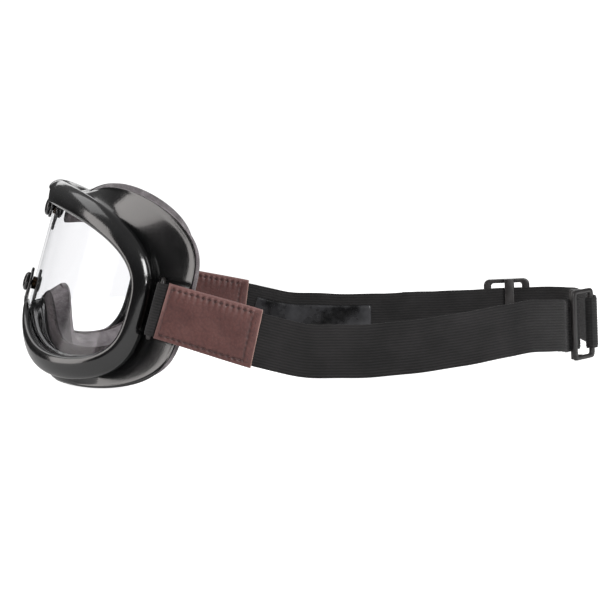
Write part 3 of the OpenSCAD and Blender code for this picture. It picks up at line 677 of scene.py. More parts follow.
# The facing is turned in over the foam's inner edge and ends this far forward
TURN_IN = 4.6
hem = wall_share(loop, TURN_IN)
middle = (d0 + d1) / 2
rings = [on_wall(start, d0 + 2.0), on_wall(half_way, d0 + 1.0), on_wall(1.0, d0), on_wall(1.0, d0)]
rings += [on_wall(1.0, middle)] + [on_wall(1.0, d1)] * 2
rings += [on_wall(wall_share(loop, TURN_IN + k), d1 + d) for k, d in ((-0.4, 0.1), (0.3, 0.8))]
rings += [on_wall(mix(hem, start, 0.5), d1 + 1.1), on_wall(mix(hem, start, 0.85), d1 + 0.3)]
rings += [on_wall(start, d1 - 1.2), on_wall(start - 0.01, middle)]
strip = soft_ring("foam_strip", rings)
dress(strip, open_foam, GOGGLES, "face_foam", "face_foam")

over = mix(-FACING_OVER, 0.5, low)
rows = [(over, FOAM_GAP), (over, FACING * 0.4), (over * 0.8, FACING * 0.85), (over + 1.3, FACING)]
rows += [(2.9, FACING * 1.05), (middle, FACING * 1.08), (d1 - 2.0, FACING * 1.05)]
rows += [(d1 - FACING_BEVEL, FACING), (d1 + 0.3, FACING * 0.7), (d1 + 0.5, FOAM_GAP)]
rings = [on_wall(1.0, d, back) for d, back in rows] + [on_wall(wall_share(loop, TURN_IN / 2), d1 + 0.55)]
rings += [on_wall(hem, d1 + 0.5)] * 2 + [on_wall(hem, d1 + 0.1)] * 2 + [on_wall(1.0, d1 + 0.05, FOAM_GAP)] * 2
rings += [on_wall(1.0, (WALL + d1) / 2, FOAM_GAP), on_wall(1.0, WALL, FOAM_GAP)]
facing = soft_ring("face_facing", rings)
dress(facing, brushed_facing, GOGGLES, "foam_facing", "foam_facing")


def lens_grid(columns, rows):
    """Lens sheet: columns spaced along the superellipse's angle, rows from its lower to its upper edge."""
    half, level, top, bottom, upper, arch, arch_w = opening_at(LENS_GRIP / RIM_W)
    a = np.radians(90 - 180 * (np.arange(columns) + 0.5) / columns)
    u = half * np.sin(a)
    q = np.abs(np.sin(a))
    top = level + top * (1 - q ** upper) ** (1 / upper)
    bottom = level - bottom * (1 - q ** LOWER_CURVE) ** (1 / LOWER_CURVE) + arch * bell(u, arch_w)
    v = np.linspace(0, 1, rows)[:, None]
    return u[None, :] + 0 * v, bottom + (top - bottom) * v


u, z = lens_grid(160, 40)
sheet = np.concatenate([bent(u, z, 0.0), bent(u, z, LENS_T)[::-1]])
lens = run_mesh("lens_sheet", np.swapaxes(lie(sheet), 0, 1))
dress(lens, clear_sheet, GOGGLES, "lens_clear", "lens")

# Snap sets

TONGUE_BACK, TONGUE_FRONT = -TONGUE_GAP, -TONGUE_GAP - TONGUE_T
TAB_FRONT = LENS_T + FIT
TAB_BACK = TAB_FRONT + TONGUE_T
SOCKET_BORE = POST_D + 1.4
SOCKET_D = SOCKET_BORE + 1.0
CAP_R = CAP_D / 2
TOP_ROOT, TOP_TIP = -(TOP_DROP - CAP_R - 0.9), -(TOP_DROP + CAP_R + 0.8)
NOSE_ROOT, NOSE_TIP = ARCH_LEVEL + 1, 7.3 - NOSE_DROP
# Where the rear tabs start, at the frame's rear lip, and where the upper one ends
TOP_TAB_ROOT = rim_outline(np.array([np.pi / 2]), LIP_CUT / 2)[1][0] - SEAT
TOP_TAB_TIP = -(TOP_DROP + 11.1)
NOSE_TAB_ROOT = ARCH_LEVEL + FIT


def at_snap(drop, back):
    """Carries points on a snap's own axis to the goggles: depth behind the lens becomes y."""
    return lambda p: lie(p + np.array([0.0, back, -drop]))


def shield_outline(reach, r, count=160):
    """Shield from its root at 0 to its tip of radius r at reach, as evenly spaced points along -y."""
    w = TONGUE_W / 2
    arc = np.radians(np.arange(-25, -156, -13))
    side = np.array([[w, 0.0], [w, -reach * 0.25], [w, -reach * 0.5], [w * 0.86, -reach * 0.66]])
    tip = together(r * np.cos(arc), -reach + r + r * np.sin(arc))
    line = np.concatenate([side, tip, side[::-1] * [-1, 1], side[:1]])
    return resampled(line, run_length(line)[-1] * np.arange(count) / count)


def shield_plate(name, root, tip, r, e0, e1, back):
    """Shield plate bent like the lens: its outline shrinks to the middle over the front and the rear."""
    line = shield_outline(abs(root - tip), r)
    middle = np.array([0.0, -abs(root - tip) * 0.4])
    edge = (e1 - e0) / 2
    bevel = [(0.02, 0), (0.4, 0), (0.7, 0), (0.88, 0), (0.94, 0.07), (0.975, 0.3), (0.994, 0.62)]
    shares = [(q, e0 + k * edge) for q, k in bevel] + [(1.0, e0 + edge)]
    shares += [(q, e1 - k * edge) for q, k in bevel[::-1]]
    rows = []
    for share, e in shares:
        p = middle + (line - middle) * share
        z = root + (p[:, 1] if root > tip else -p[:, 1])
        y = LENS_R - np.sqrt((LENS_R - e) ** 2 - p[:, 0] ** 2)
        rows.append(together(p[:, 0], y + back, z))
    return run_mesh(name, lie(np.stack(rows)))


def hinge_roll(name, root, back):
    """Round root of a tongue: a capsule across the tongue's width."""
    half, r = TONGUE_W / 2 - 0.6, TONGUE_T / 2
    ends = [(-half, 0.05), (-half + 0.1, 0.55), (-half + 0.4, 0.92), (-half + 0.8, 1.0)]
    stations = ends + [(-x, q) for x, q in ends[::-1]]
    a = circle(24)
    rows = [together(x, r * q * np.cos(a), r * q * np.sin(a)) for x, q in stations]
    return run_mesh(name, lie(np.stack(rows) + [0, TONGUE_BACK - r + back, root]))


def snap_set(prefix, body, drop, root, tip, tip_r, tab_root, tab_tip, head, back):
    """One tongue with its cap, socket, stud and rear tab; head is the stud head's radius and height."""
    place = at_snap(drop, back)
    front, under = TONGUE_FRONT - 0.05, TONGUE_BACK
    r, ring = CAP_R, SOCKET_D / 2
    a = np.radians(np.arange(88, 0, -6))
    dome = together(r * np.sin(a), front - 0.6 - (CAP_H - 0.6) * np.cos(a) ** 0.8).tolist()
    cap = [(0.0, front - 0.6), (ring + 0.3, front - 0.6), (ring + 0.3, front), (r - 0.4, front)]
    cap += [(r - 0.1, front - 0.1), (r, front - 0.3)] + dome + [(0.0, front - CAP_H)]
    dress(turned(prefix + "_cap", cap, place), black_enamel, body, "snap_cap", prefix + "_snap_cap")
    bore = SOCKET_BORE / 2
    socket = [(bore, under - 0.05), (ring, under - 0.05), (ring, front - 0.5), (bore, front - 0.5)]
    dress(turned(prefix + "_socket", socket, place), aged_brass, body, "snap_metal", prefix + "_snap_socket")
    b, p = BARREL_D / 2, POST_D / 2
    r, tall = head
    face = TAB_BACK + r ** 2 / (2 * (LENS_R - TAB_BACK)) + 0.02 - back
    knob = front - 0.25
    # The barrel behind the tongue, the post's waist, and its knob inside the cap
    stud = [(0.0, face + 0.4), (b - 0.15, face + 0.4), (b, face + 0.25), (b, under + SEAT + 0.3)]
    stud += [(b - 0.1, under + SEAT + 0.06), (b - 0.3, under + SEAT), (p - 0.2, under + SEAT)]
    stud += [(p - 0.4, under), (p - 0.4, under - 0.4), (p - 0.15, under - 0.6), (p, under - 0.8)]
    stud += [(p, knob + 0.5), (p - 0.2, knob + 0.12), (p - 0.7, knob), (0.0, knob)]
    dress(turned(prefix + "_barrel", stud, place), aged_brass, GOGGLES, "snap_metal", prefix + "_snap_stud")
    a = np.radians(np.arange(6, 89, 6))
    dome = together(r * np.sin(a), face + tall * (0.3 + 0.7 * np.cos(a) ** 0.9)).tolist()
    button = [(0.0, face + tall)] + dome + [(r, face + 0.25 * tall), (r - 0.08, face + 0.06)]
    button += [(r - 0.25, face), (b + 0.05, face), (b + 0.05, face + 0.3), (0.0, face + 0.3)]
    dress(turned(prefix + "_head", button, place), black_enamel, GOGGLES, "snap_cap")
    plate = shield_plate(prefix + "_shield", root, tip, tip_r, TONGUE_FRONT, TONGUE_BACK, back)
    dress(plate, soft_pvc, body, "tongue_rubber", prefix + "_tongue")
    dress(hinge_roll(prefix + "_root", root, back), soft_pvc, body, "tongue_rubber")
    tab = shield_plate(prefix + "_tab", tab_root, tab_tip, 2.6, TAB_FRONT, TAB_BACK, 0.0)
    dress(tab, soft_pvc, GOGGLES, "tongue_rubber", prefix + "_stud_tab")


TOP_HEAD, NOSE_HEAD = (CAP_R, 2.4), (BARREL_D / 2 + 0.8, 0.9)
snap_set("top", UPPER, TOP_DROP, TOP_ROOT, TOP_TIP, 5.5, TOP_TAB_ROOT, TOP_TAB_TIP, TOP_HEAD, UPPER_BACK)
snap_set("nose", NOSE, NOSE_DROP, NOSE_ROOT, NOSE_TIP, 2.6, NOSE_TAB_ROOT, NOSE_TIP, NOSE_HEAD, 0.0)


def nose_web():
    """Soft web that carries the lower tongue over the frame's lip to its bead's crest: cross-sections are
    flat-topped humps over the bead, wider and lower from the tongue towards the crest."""
    s = np.linspace(0, 1, 22)
    level = mix(NOSE_ROOT + 3.2, ARCH_LEVEL - 4.6, s)
    half = mix(TONGUE_W / 2 - 0.15, TONGUE_W / 2 + 2.6, ease(s * 1.1))
    front = mix(TONGUE_FRONT + 0.04, -1.7, ease((s - 0.42) / 0.58))
    rear = mix(TONGUE_BACK - 0.08, -1.3, ease((s - 0.3) / 0.4))
    rear = np.where(s > 0.62, mix(rear, 0.2, ease((s - 0.62) / 0.3)), rear)
    u = np.linspace(-1, 1, 41)
    hump = (1 - np.abs(u) ** 6) ** 0.5
    x = half[:, None] * u
    bend = x ** 2 / (2 * LENS_R)
    top = together(x, mix(rear[:, None], front[:, None], hump) + bend, level[:, None])
    under = together(x, rear[:, None] + bend + 0.02, level[:, None])[:, ::-1]
    web = run_mesh("nose_tongue_web", lie(np.concatenate([top, under[:, 1:-1]], 1)))
    web.data.materials.append(soft_pvc)
    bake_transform(web)


nose_web()

# Strap posts, bent from round bar


def tube(name, path, radius):
    """Round bar along a path: circles square to it, drawn in at both ends."""
    ahead = unit(np.gradient(path, axis=0))
    side = unit(np.cross(ahead, [0.0, 1.0, 0.3]))
    other = np.cross(ahead, side)
    a = circle(20)[None, :, None]
    size = np.full(len(path), radius)
    size[[0, -1]] *= 0.75
    rings = np.cos(a) * side[:, None] + np.sin(a) * other[:, None]
    return run_mesh(name, path[:, None] + size[:, None, None] * rings)


TEMPLE_FRONT, TEMPLE_REAR = (wall_point(np.array([0.0]), s, 0.0)[0] for s in (0.0, 1.0))


def wall_x(y):
    """Distance of the wall's outer face from the middle, at the temple."""
    a, b = TEMPLE_FRONT, TEMPLE_REAR
    return mix(a[0], b[0], ((y - a[1]) / (b[1] - a[1])) ** WALL_CURL)


POST_Y = TEMPLE_FRONT[1] + 4.55
POST_SIDE = wall_x(POST_Y) + 12.8
ARM_HALF = ELASTIC_W / 2 + 0.6


def strap_post(name, side, node):
    """Bracket: two arms out from the wall joined by the bar that the elastic turns round."""
    inner = max(wall_x(POST_Y - WIRE_D / 2), wall_x(POST_Y + WIRE_D / 2)) + SEAT + 0.1
    z = ARM_HALF + 0.6
    r = 1.5
    a = np.radians(np.arange(0, 91, 15))
    upper = [[x, 0, z] for x in np.linspace(inner, POST_SIDE - r, 5)]
    bend = [[POST_SIDE - r + r * np.sin(q), 0, z - r + r * np.cos(q)] for q in a[1:]]
    down = [[POST_SIDE, 0, q] for q in np.linspace(z - r, 0, 6)[1:]]
    half = np.array(upper + bend + down)
    path = np.concatenate([half, half[-2::-1] * [1, 1, -1]])
    piece = tube(name, lie((path + [0, POST_Y, POST_Z]) * [side, 1, 1]), WIRE_D / 2)
    dress(piece, acetal, GOGGLES, "strap_post", node)


strap_post("left_bracket", 1, "left_strap_post")
strap_post("right_bracket", -1, "right_strap_post")

# Elastic

LAYER = ELASTIC_T / 2 + 0.1
TURN_R = WIRE_D / 2 + SEAT + ELASTIC_T / 2
SPREADS = [POST_Y + k for k in (1.2, 2.2, 3.4, 4.5, 5.5)]
SLEEVE_FRONT, SLEEVE_FLAT = SPREADS[1], SPREADS[4]
SLEEVE_REAR = SLEEVE_FRONT + LEATHER_L
FOLD_END = SLEEVE_REAR - 10
SIDE_X = POST_SIDE + LAYER
BAR_GAP = 2 * ELASTIC_T + 0.2 + 2 * FIT
SLOT_REACH = ELASTIC_W / 2 + 2.6
BUCKLE_HALF = SLOT_REACH + RAIL
BAR_SHIFT = 0.9
END_INNER = BUCKLE_W / 2 - END_BAR
MID_LEFT, MID_RIGHT = -MIDDLE_BAR / 2 - BAR_SHIFT, MIDDLE_BAR / 2 - BAR_SHIFT
BUCKLE_MID = np.array([12.0, 131.36, BUCKLE_HALF])
BUCKLE_DIR = np.array([-np.sin(BUCKLE_TURN), np.cos(BUCKLE_TURN), 0.0])
BUCKLE_OUT = np.array([np.cos(BUCKLE_TURN), np.sin(BUCKLE_TURN), 0.0])
POST_UP = np.array([0.0, np.sin(PITCH), np.cos(PITCH)])
GROUND_UP = np.array([0.0, 0.0, 1.0])


def at_buckle(a, b):
    """Point of the rear buckle: a along the strap's way, b outwards."""
    return BUCKLE_MID + a * BUCKLE_DIR + b * BUCKLE_OUT


def spread(y):
    """Distance of a layer from the sleeve's middle: the turn's radius at the post, easing to flat."""
    return mix(TURN_R, LAYER, ease((y - POST_Y) / (SLEEVE_FLAT - POST_Y)))


def sleeve_point(side, tilt, y, off):
    """Point of a sleeve, off outwards: its middle line falls by the tilt behind the sleeve's front."""
    z = POST_Z - np.tan(np.radians(tilt)) * max(0.0, y - SLEEVE_FRONT)
    return lie([side * (POST_SIDE + off), y, z])


def folded_run(side, tilt):
    """From the folded end inside the sleeve, round the strap post and back to the sleeve's middle."""
    run = [(y, -LAYER) for y in (FOLD_END, (FOLD_END + SLEEVE_FLAT) / 2)]
    run += [(y, -spread(y)) for y in SPREADS[::-1]]
    run += [(POST_Y - TURN_R * np.sin(a), TURN_R * np.cos(a)) for a in np.radians(np.arange(180, -1, -22.5))]
    run += [(y, spread(y)) for y in SPREADS] + [((SLEEVE_FLAT + SLEEVE_REAR) / 2, LAYER)]
    return [sleeve_point(side, tilt, y, off) for y, off in run]


def smooth_run(points, steps):
    """Catmull-Rom run from the second to the last but one of the points."""
    return list(flowing(np.array(points, float), steps)[steps:-steps])


def beside(run, i, d):
    """Point i of a run moved a distance d sideways, level and square to the run."""
    h = unit(run[min(i + 1, len(run) - 1)] - run[max(i - 1, 0)])
    return run[i] + d * unit(np.array([h[1], -h[0], 0.0]))


left_points = [sleeve_point(1, LEFT_TILT, y, LAYER) for y in (SLEEVE_REAR - 12, SLEEVE_REAR)]
left_points += [[SIDE_X, -10.5, 16.1], [SIDE_X, 8.5, 14.6], [SIDE_X - 1.15, 31, 14.8]]
left_points += [[SIDE_X - 4.15, 55, 16.2], [SIDE_X - 11.65, 77, 18.6], [SIDE_X - 24.15, 96, 20.2]]
left_points += [[44, 110, 19.6], [31.5, 120, 18.4]]
left_points += [at_buckle(a, -BAR_GAP + g + LAYER) for a, g in ((-14, 0), (-6, FIT), (0, FIT))]
left_run = smooth_run(left_points, 4)
TURN_MID = BAR_T / 2 + FIT + ELASTIC_T / 2
BAR_MID = -BAR_GAP - BAR_T / 2
left_turn = [at_buckle(MID_RIGHT - 0.8, BAR_MID + TURN_MID)]
for a in np.radians(np.arange(90, -91, -22.5)):
    left_turn.append(at_buckle(MID_RIGHT + TURN_MID * np.cos(a), BAR_MID + TURN_MID * np.sin(a)))
left_turn.append(at_buckle(MID_LEFT, BAR_MID - TURN_MID))
left_return = [
    beside(left_run, len(left_run) - 1 - k, -mix(1.45 * TURN_MID + LAYER, 2 * LAYER, ease(k / 4)))
    for k in range(1, 10)
]

STRAIGHT_FRONT, SIDE_BACK, CORNER_R = 44.0, 119.56, 19.0
REAR_LINE = SIDE_BACK + CORNER_R
right_points = [sleeve_point(-1, RIGHT_TILT, y, LAYER) for y in (SLEEVE_REAR - 12, SLEEVE_REAR)]
right_points += [[-SIDE_X, -10, 21], [-SIDE_X, 8, 19.3], [-SIDE_X, 26, 18.3]]
right_points += [[-SIDE_X, STRAIGHT_FRONT + k, STRAP_LEVEL] for k in (0, 12)]
a = np.radians(np.arange(0, 91, 15))
corner = list(together(-SIDE_X + CORNER_R * (1 - np.cos(a)), SIDE_BACK + CORNER_R * np.sin(a), STRAP_LEVEL))
UNDER_BAR = -FIT - ELASTIC_T / 2
TURN_END = BAR_T / 2 - UNDER_BAR
rear_points = [corner[5], corner[6], [-38, REAR_LINE + 0.6, STRAP_LEVEL], [-14, REAR_LINE + 0.6, 17.5]]
rear_points += [at_buckle(BUCKLE_W / 2 + 1, -2.6), at_buckle(END_INNER, UNDER_BAR)]
rear_points.append(at_buckle(END_INNER - 5, 1.1))
straight = list(together(-SIDE_X, mix(STRAIGHT_FRONT, SIDE_BACK, np.arange(1, 6) / 6), STRAP_LEVEL))
right_run = smooth_run(right_points, 4) + straight + corner[:6] + smooth_run(rear_points, 5)
right_turn = [
    at_buckle(END_INNER - TURN_END * np.sin(a), BAR_T / 2 - TURN_END * np.cos(a))
    for a in np.radians(np.arange(22.5, 158, 22.5))
]
right_end = right_run[-1]
SLIDER_REST, SLIDER_TRAVEL = 107.3, 36.0
TAIL = SLIDER_TRAVEL + BUCKLE_W / 2 + 7


def outer_gap(p):
    """Distance of the outer layer from the inner one: wide at the end bar, then closing."""
    return mix(2 * TURN_END + 1.2, 2 * LAYER, ease((np.linalg.norm(p - right_end) - END_BAR - 2) / 16))


right_return = [at_buckle(BUCKLE_W / 2 + 0.3, BAR_T + TURN_END - BAR_T / 2)]
right_return += [
    beside(right_run, i, -outer_gap(right_run[i])) for i in range(len(right_run) - 1, -1, -1)
    if np.linalg.norm(right_run[i] - right_end) > END_BAR + 3 and right_run[i][1] > SLIDER_REST - TAIL + 12
]
right_return.append(np.array([-SIDE_X - 2 * LAYER, SLIDER_REST - TAIL, STRAP_LEVEL]))


def ribbon_rings(run, profile, up=GROUND_UP, stagger=0.0):
    """Carries a flat profile along a run: its first number is across the band, its second out of it."""
    ahead = unit(np.gradient(run, axis=0))
    across = unit(up - np.sum(ahead * up, -1, keepdims=True) * ahead)
    out = np.cross(ahead, across)
    middle = run + np.reshape(stagger, (-1, 1)) * across
    return middle[:, None] + profile[None, :, :1] * across[:, None] + profile[None, :, 1:] * out[:, None]


def ribbed_profile(width, thick, ribs, relief):
    """Cross-section of ribbed elastic: both faces carry cosine ribs, and the selvedges are rounded."""
    across = np.linspace(0.5, -0.5, ribs * 4 + 1)
    fade = np.clip((0.5 - np.abs(across)) * 22, 0, 1) ** 0.5
    groove = relief * (0.5 - 0.5 * np.cos(2 * np.pi * (across + 0.5) * ribs))
    top = together(across * width, (thick / 2 - groove) * (0.45 + 0.55 * fade))
    return np.concatenate([top, (top * [1, -1])[::-1]])


def run_map(piece, run, profile):
    """UV map in millimetres: u along the run, v across the band."""
    places = together(run_length(run)[:, None], profile[None, :, 0]).reshape(-1, 2)
    corners = np.empty(len(piece.data.loops), dtype=np.int64)
    piece.data.loops.foreach_get("vertex_index", corners)
    piece.data.uv_layers.new(name="run").data.foreach_set("uv", places[corners].ravel())


def elastic_band(name, folded, beyond, node):
    """Elastic along its run, its free edges a little wavy; the folded part stands like the strap post."""
    steps = 4
    run = flowing(np.array(folded + beyond), steps)
    share = ease((np.arange(len(run)) / steps - len(folded) + 1.5) / 3)[:, None]
    profile = ribbed_profile(ELASTIC_W, ELASTIC_T, RIBS, 0.2)
    length = run_length(run)
    stagger = 0.12 * np.sin(length / 9.0) + 0.1 * np.sin(length / 4.1)
    band = run_mesh(name, ribbon_rings(run, profile, mix(POST_UP, GROUND_UP, share), stagger))
    run_map(band, run, profile)
    dress(band, woven_elastic, GOGGLES, "elastic", node)


left_run_back = left_run + left_turn + left_return
right_run_back = right_run + right_turn + right_return
elastic_band("left_elastic", folded_run(1, LEFT_TILT), left_run_back, "left_strap")
elastic_band("right_elastic", folded_run(-1, RIGHT_TILT), right_run_back, "right_strap")


def grip_strip(name, run, side, node):
    """Silicone strip on the head side of a band, thinning to its edges."""
    path = flowing(np.array(run), 5)
    half = GRIP_W / 2
    across = np.linspace(half, -half, 27)
    thick = GRIP_T * (1 - np.abs(across / half) ** 6) + 0.06
    face = -side * (ELASTIC_T / 2 + 0.02)
    profile = np.concatenate([together(across, face - side * thick), together(across[::-1], face)])
    piece = run_mesh(name, ribbon_rings(path, profile))
    dress(piece, silicone, GOGGLES, "grip", node)


grip_strip("left_grip", left_run[1:15], 1, "left_grip_strip")
grip_strip("right_grip", right_run[1:15], -1, "right_grip_strip")

# Leather sleeves

LEATHER_OFF = ELASTIC_T / 2 + FIT + LEATHER_T / 2
LEATHER_STEPS = SPREADS[1:] + [(SLEEVE_FLAT + SLEEVE_REAR) / 2, SLEEVE_REAR]
SKEW = 0.08
INSET = 2.3
STITCH = 2.9
SEAM_FRONT, SEAM_REAR = SLEEVE_FLAT - SLEEVE_FRONT - 1.1, LEATHER_L - INSET
SEAM_SIDE = LEATHER_H / 2 - INSET


def wave(x):
    """Even wave between 0 and 1, at 1 over each stitch hole along x."""
    return 0.5 + 0.5 * np.cos(2 * np.pi * x / STITCH)


def leather_panel(name, side, tilt, face, node):
    """Panel over the elastic: plump in the middle, drawn in along its seam and most at the needle holes, with
    puckers that run inwards from the upper row; its cut edges are round."""
    run = flowing(np.array([sleeve_point(side, tilt, y, face * spread(y)) for y in LEATHER_STEPS]), 14)
    along = np.linspace(0, run_length(run)[-1], 190)
    run = resampled(run, along)
    ahead = unit(np.gradient(run, axis=0))
    across = unit(POST_UP - (ahead @ POST_UP)[:, None] * ahead)
    out = np.cross(ahead, across) * (1 if side * face > 0 else -1)
    rim_steps = np.array([0.0, 0.08, 0.22, 0.42, 0.7, 1.0, 1.35])
    half = LEATHER_H / 2
    v = np.concatenate([rim_steps - half, np.linspace(1.7 - half, half - 1.7, 66), half - rim_steps[::-1]])
    v, y = v[None, :], along[:, None]
    to_end, to_side = np.minimum(y, along[-1] - y), half - np.abs(v)
    rim = np.minimum(to_end, to_side)
    rounding = np.sqrt(np.clip(1 - (1 - np.clip(rim / 0.6, 0, 1)) ** 2, 0, 1))
    hole_y, hole_v = wave(y - SEAM_FRONT), wave(v + SEAM_SIDE)
    inside_y = (y > SEAM_FRONT - 0.4) & (y < SEAM_REAR + 0.4)
    rows = bell(to_side - INSET, 0.62) * inside_y * (0.5 + 0.5 * hole_y)
    ends = (bell(y - SEAM_FRONT, 0.62) + bell(y - SEAM_REAR, 0.62)) * (to_side > INSET - 0.4)
    pinch = np.maximum(rows, ends * (0.5 + 0.5 * hole_v))
    inward = np.clip(to_side - INSET, 0, None)
    pucker = (hole_y - 0.5) * np.exp(-inward / 1.9) * (to_side > INSET - 1.2) * inside_y
    pucker = pucker * np.where(v > 0, 0.5, 0.14)
    swell = 0.05 * np.sin(y / 2.9 + v / 2.6) + 0.05 * np.sin(y / 6.1 - v / 4.3)
    inner = LEATHER_T / 2 - 0.45 + 0.45 * rounding
    outer = inner - 0.36 * pinch + (0.2 + swell) * ease(rim / 6) - pucker
    height = mix(LEATHER_TAPER, 1.0, ease(y / along[-1])) * v
    skewed = height[..., None] * (across[:, None] - SKEW * (y / along[-1])[..., None] * ahead[:, None])
    centre = run[:, None] + out[:, None] * LEATHER_OFF + skewed
    both = [centre + out[:, None] * outer[..., None], (centre - out[:, None] * inner[..., None])[:, ::-1]]
    piece = run_mesh(name, np.concatenate(both, 1))
    # Colour shares: the pale raw cut edge; painted seam shade from the pinch; paler rims, partly rubbed and
    # partly a painted highlight, most on the upper side and on the crests between the upper stitches
    raw = np.clip(1 - (along[-1] - y) / 0.4, 0, 1) + 0 * v
    crest_highlight = (1 - hole_y) * np.exp(-np.clip(inward - 0.4, 0, None) / 1.6)
    crest_highlight = crest_highlight * (v > 0) * inside_y * (to_side > 0.8)
    rubbed_and_highlit = np.clip(np.exp(-rim / 0.7) * np.where(v > 0, 0.8, 0.3) + 0.3 * crest_highlight, 0, 1)
    for label, values in (("edge", raw), ("seam", pinch), ("rubbed_and_highlit", rubbed_and_highlit)):
        values = np.concatenate([values, values[:, ::-1]], 1)
        piece.data.attributes.new(label, "FLOAT", "POINT").data.foreach_set("value", values.ravel())
    dress(piece, stained_leather, GOGGLES, "leather", node)


def stitch_rows():
    """Places of the stitches round a panel: along, across and the turn of each."""
    along = np.arange(SEAM_FRONT + STITCH / 2, SEAM_REAR, STITCH)
    up = np.arange(-SEAM_SIDE + STITCH / 2, SEAM_SIDE, STITCH)
    taper = mix(LEATHER_TAPER, 1.0, ease(along / LEATHER_L))
    flat = [(y, z * k, 0.0) for z in (-SEAM_SIDE, SEAM_SIDE) for y, k in zip(along, taper)]
    return flat + [(y, z, np.pi / 2) for y in (SEAM_FRONT, SEAM_REAR) for z in up]


def thread_capsule():
    """One stitch: a thread that dips into the leather at both ends, as rings along x."""
    s, a = np.linspace(-1, 1, 11)[:, None], circle(10)
    r = 0.24 * np.sqrt(np.clip(1 - np.abs(s) ** 5, 0.03, 1))
    lift = 0.2 * (1 - s ** 2) - 0.2
    return together(1.2 * s, r * np.cos(a), lift + r * 0.75 * np.sin(a))


def stitching(name, side, tilt, node):
    """Thread on both faces of a sleeve: one capsule copied to each stitch's place."""
    rings = thread_capsule()
    x, across_x, lift = rings.reshape(-1, 3).T
    faces = quads(*rings.shape[:2]).tolist() + end_caps(*rings.shape[:2])
    points, corners = [], []
    lean = np.radians(-tilt)
    face = LAYER + LEATHER_OFF + LEATHER_T / 2 - 0.06
    for flip in (1, -1):
        for y, z, turn in stitch_rows():
            along = x * np.cos(turn) - across_x * np.sin(turn) + y
            across = x * np.sin(turn) + across_x * np.cos(turn) + z
            along = along - SKEW * across * y / LEATHER_L
            near_post = 1 - ease(along / (SLEEVE_FLAT - SLEEVE_FRONT))
            off = face + near_post * (spread(SLEEVE_FRONT) - LAYER)
            q = together(
                flip * (off + lift), along * np.cos(lean) - across * np.sin(lean),
                along * np.sin(lean) + across * np.cos(lean),
            )
            base = len(points) * len(x)
            points.append(lie((q + [POST_SIDE, SLEEVE_FRONT, POST_Z]) * [side, 1, 1]))
            corners += [[base + k for k in (f[::-1] if flip * side < 0 else f)] for f in faces]
    dress(put_mesh(name, np.concatenate(points), corners), waxed_thread, GOGGLES, "thread", node)


for word, side, tilt in (("left", 1, LEFT_TILT), ("right", -1, RIGHT_TILT)):
    for where, face in (("outer", 1), ("inner", -1)):
        leather_panel(f"{word}_sleeve_{where}", side, tilt, face, f"{word}_leather_{where}")
    stitching(f"{word}_sleeve_thread", side, tilt, f"{word}_leather_stitches")

# Buckle and slider


def round_rect(width, height, radius, steps):
    """Outline of a rectangle with round corners, steps points to each corner."""
    arc = np.linspace(0, np.pi / 2, steps)
    parts = []
    for k, (sx, sy) in enumerate(((1, 1), (-1, 1), (-1, -1), (1, -1))):
        a = arc + k * np.pi / 2
        x, y = sx * (width / 2 - radius), sy * (height / 2 - radius)
        parts.append(together(x + radius * np.cos(a), y + radius * np.sin(a)))
    return np.concatenate(parts)


def strap_frame(name, mid, along, out, body, node):
    """Flat outer frame with round edges, and the middle bar set towards the head on two legs."""
    def place(a, b, z):
        return mid + a[..., None] * along + b[..., None] * out + z[..., None] * GROUND_UP

    outer = round_rect(BUCKLE_W, 2 * BUCKLE_HALF, 3.2, 10)
    inner = round_rect(2 * END_INNER, 2 * SLOT_REACH, 1.4, 10)
    # Section of the frame: share of the way inwards, and height
    q = np.array([0, 0.06, 0.2, 0.5, 0.8, 0.94, 1, 1, 0.94, 0.8, 0.5, 0.2, 0.06, 0])
    h = np.array([0.72, 0.93, 1.0, 1.04, 1.0, 0.93, 0.72, 0.2, 0.04, 0, 0, 0, 0.04, 0.2]) * BAR_T
    a = mix(outer[None, :, 0], inner[None, :, 0], q[:, None])
    z = mix(outer[None, :, 1], inner[None, :, 1], q[:, None])
    ring = ring_mesh(name + "_frame", place(a, np.broadcast_to(h[:, None], a.shape), z))
    dress(ring, acetal, body, "buckle", node)

    def rod(label, width, thick, centre_a, centre_b, levels):
        """Bar of rounded section between two levels, its ends drawn in."""
        profile = round_rect(width, thick, min(width, thick) * 0.3, 5)
        low, high = levels
        z = np.array([low, low + 0.15, low + 0.45, high - 0.45, high - 0.15, high])
        size = np.array([0.86, 0.96, 1, 1, 0.96, 0.86])
        a = centre_a + profile[None, :, 0] * size[:, None]
        b = centre_b + profile[None, :, 1] * size[:, None]
        piece = run_mesh(f"{name}_{label}", place(a, b, np.broadcast_to(z[:, None], a.shape)))
        dress(piece, acetal, body, "buckle")

    middle = (MID_LEFT + MID_RIGHT) / 2
    rod("bar", MIDDLE_BAR, BAR_T, middle, -BAR_GAP - BAR_T / 2, (-BUCKLE_HALF, BUCKLE_HALF))
    for label, low in (("lower_leg", -BUCKLE_HALF), ("upper_leg", SLOT_REACH)):
        rod(label, MIDDLE_BAR, BAR_GAP + 0.6, middle, -BAR_GAP / 2, (low, low + RAIL))


strap_frame("rear_buckle", BUCKLE_MID, BUCKLE_DIR, BUCKLE_OUT, GOGGLES, "rear_buckle")
SLIDER_PLANE = SIDE_X + BAR_GAP - FIT - ELASTIC_T / 2
slider_mid = np.array([-SLIDER_PLANE, SLIDER_REST, STRAP_LEVEL])
forwards, outwards = np.array([0.0, -1.0, 0.0]), np.array([-1.0, 0.0, 0.0])
strap_frame("slider", slider_mid, forwards, outwards, SLIDER, "strap_slider")

# Studio


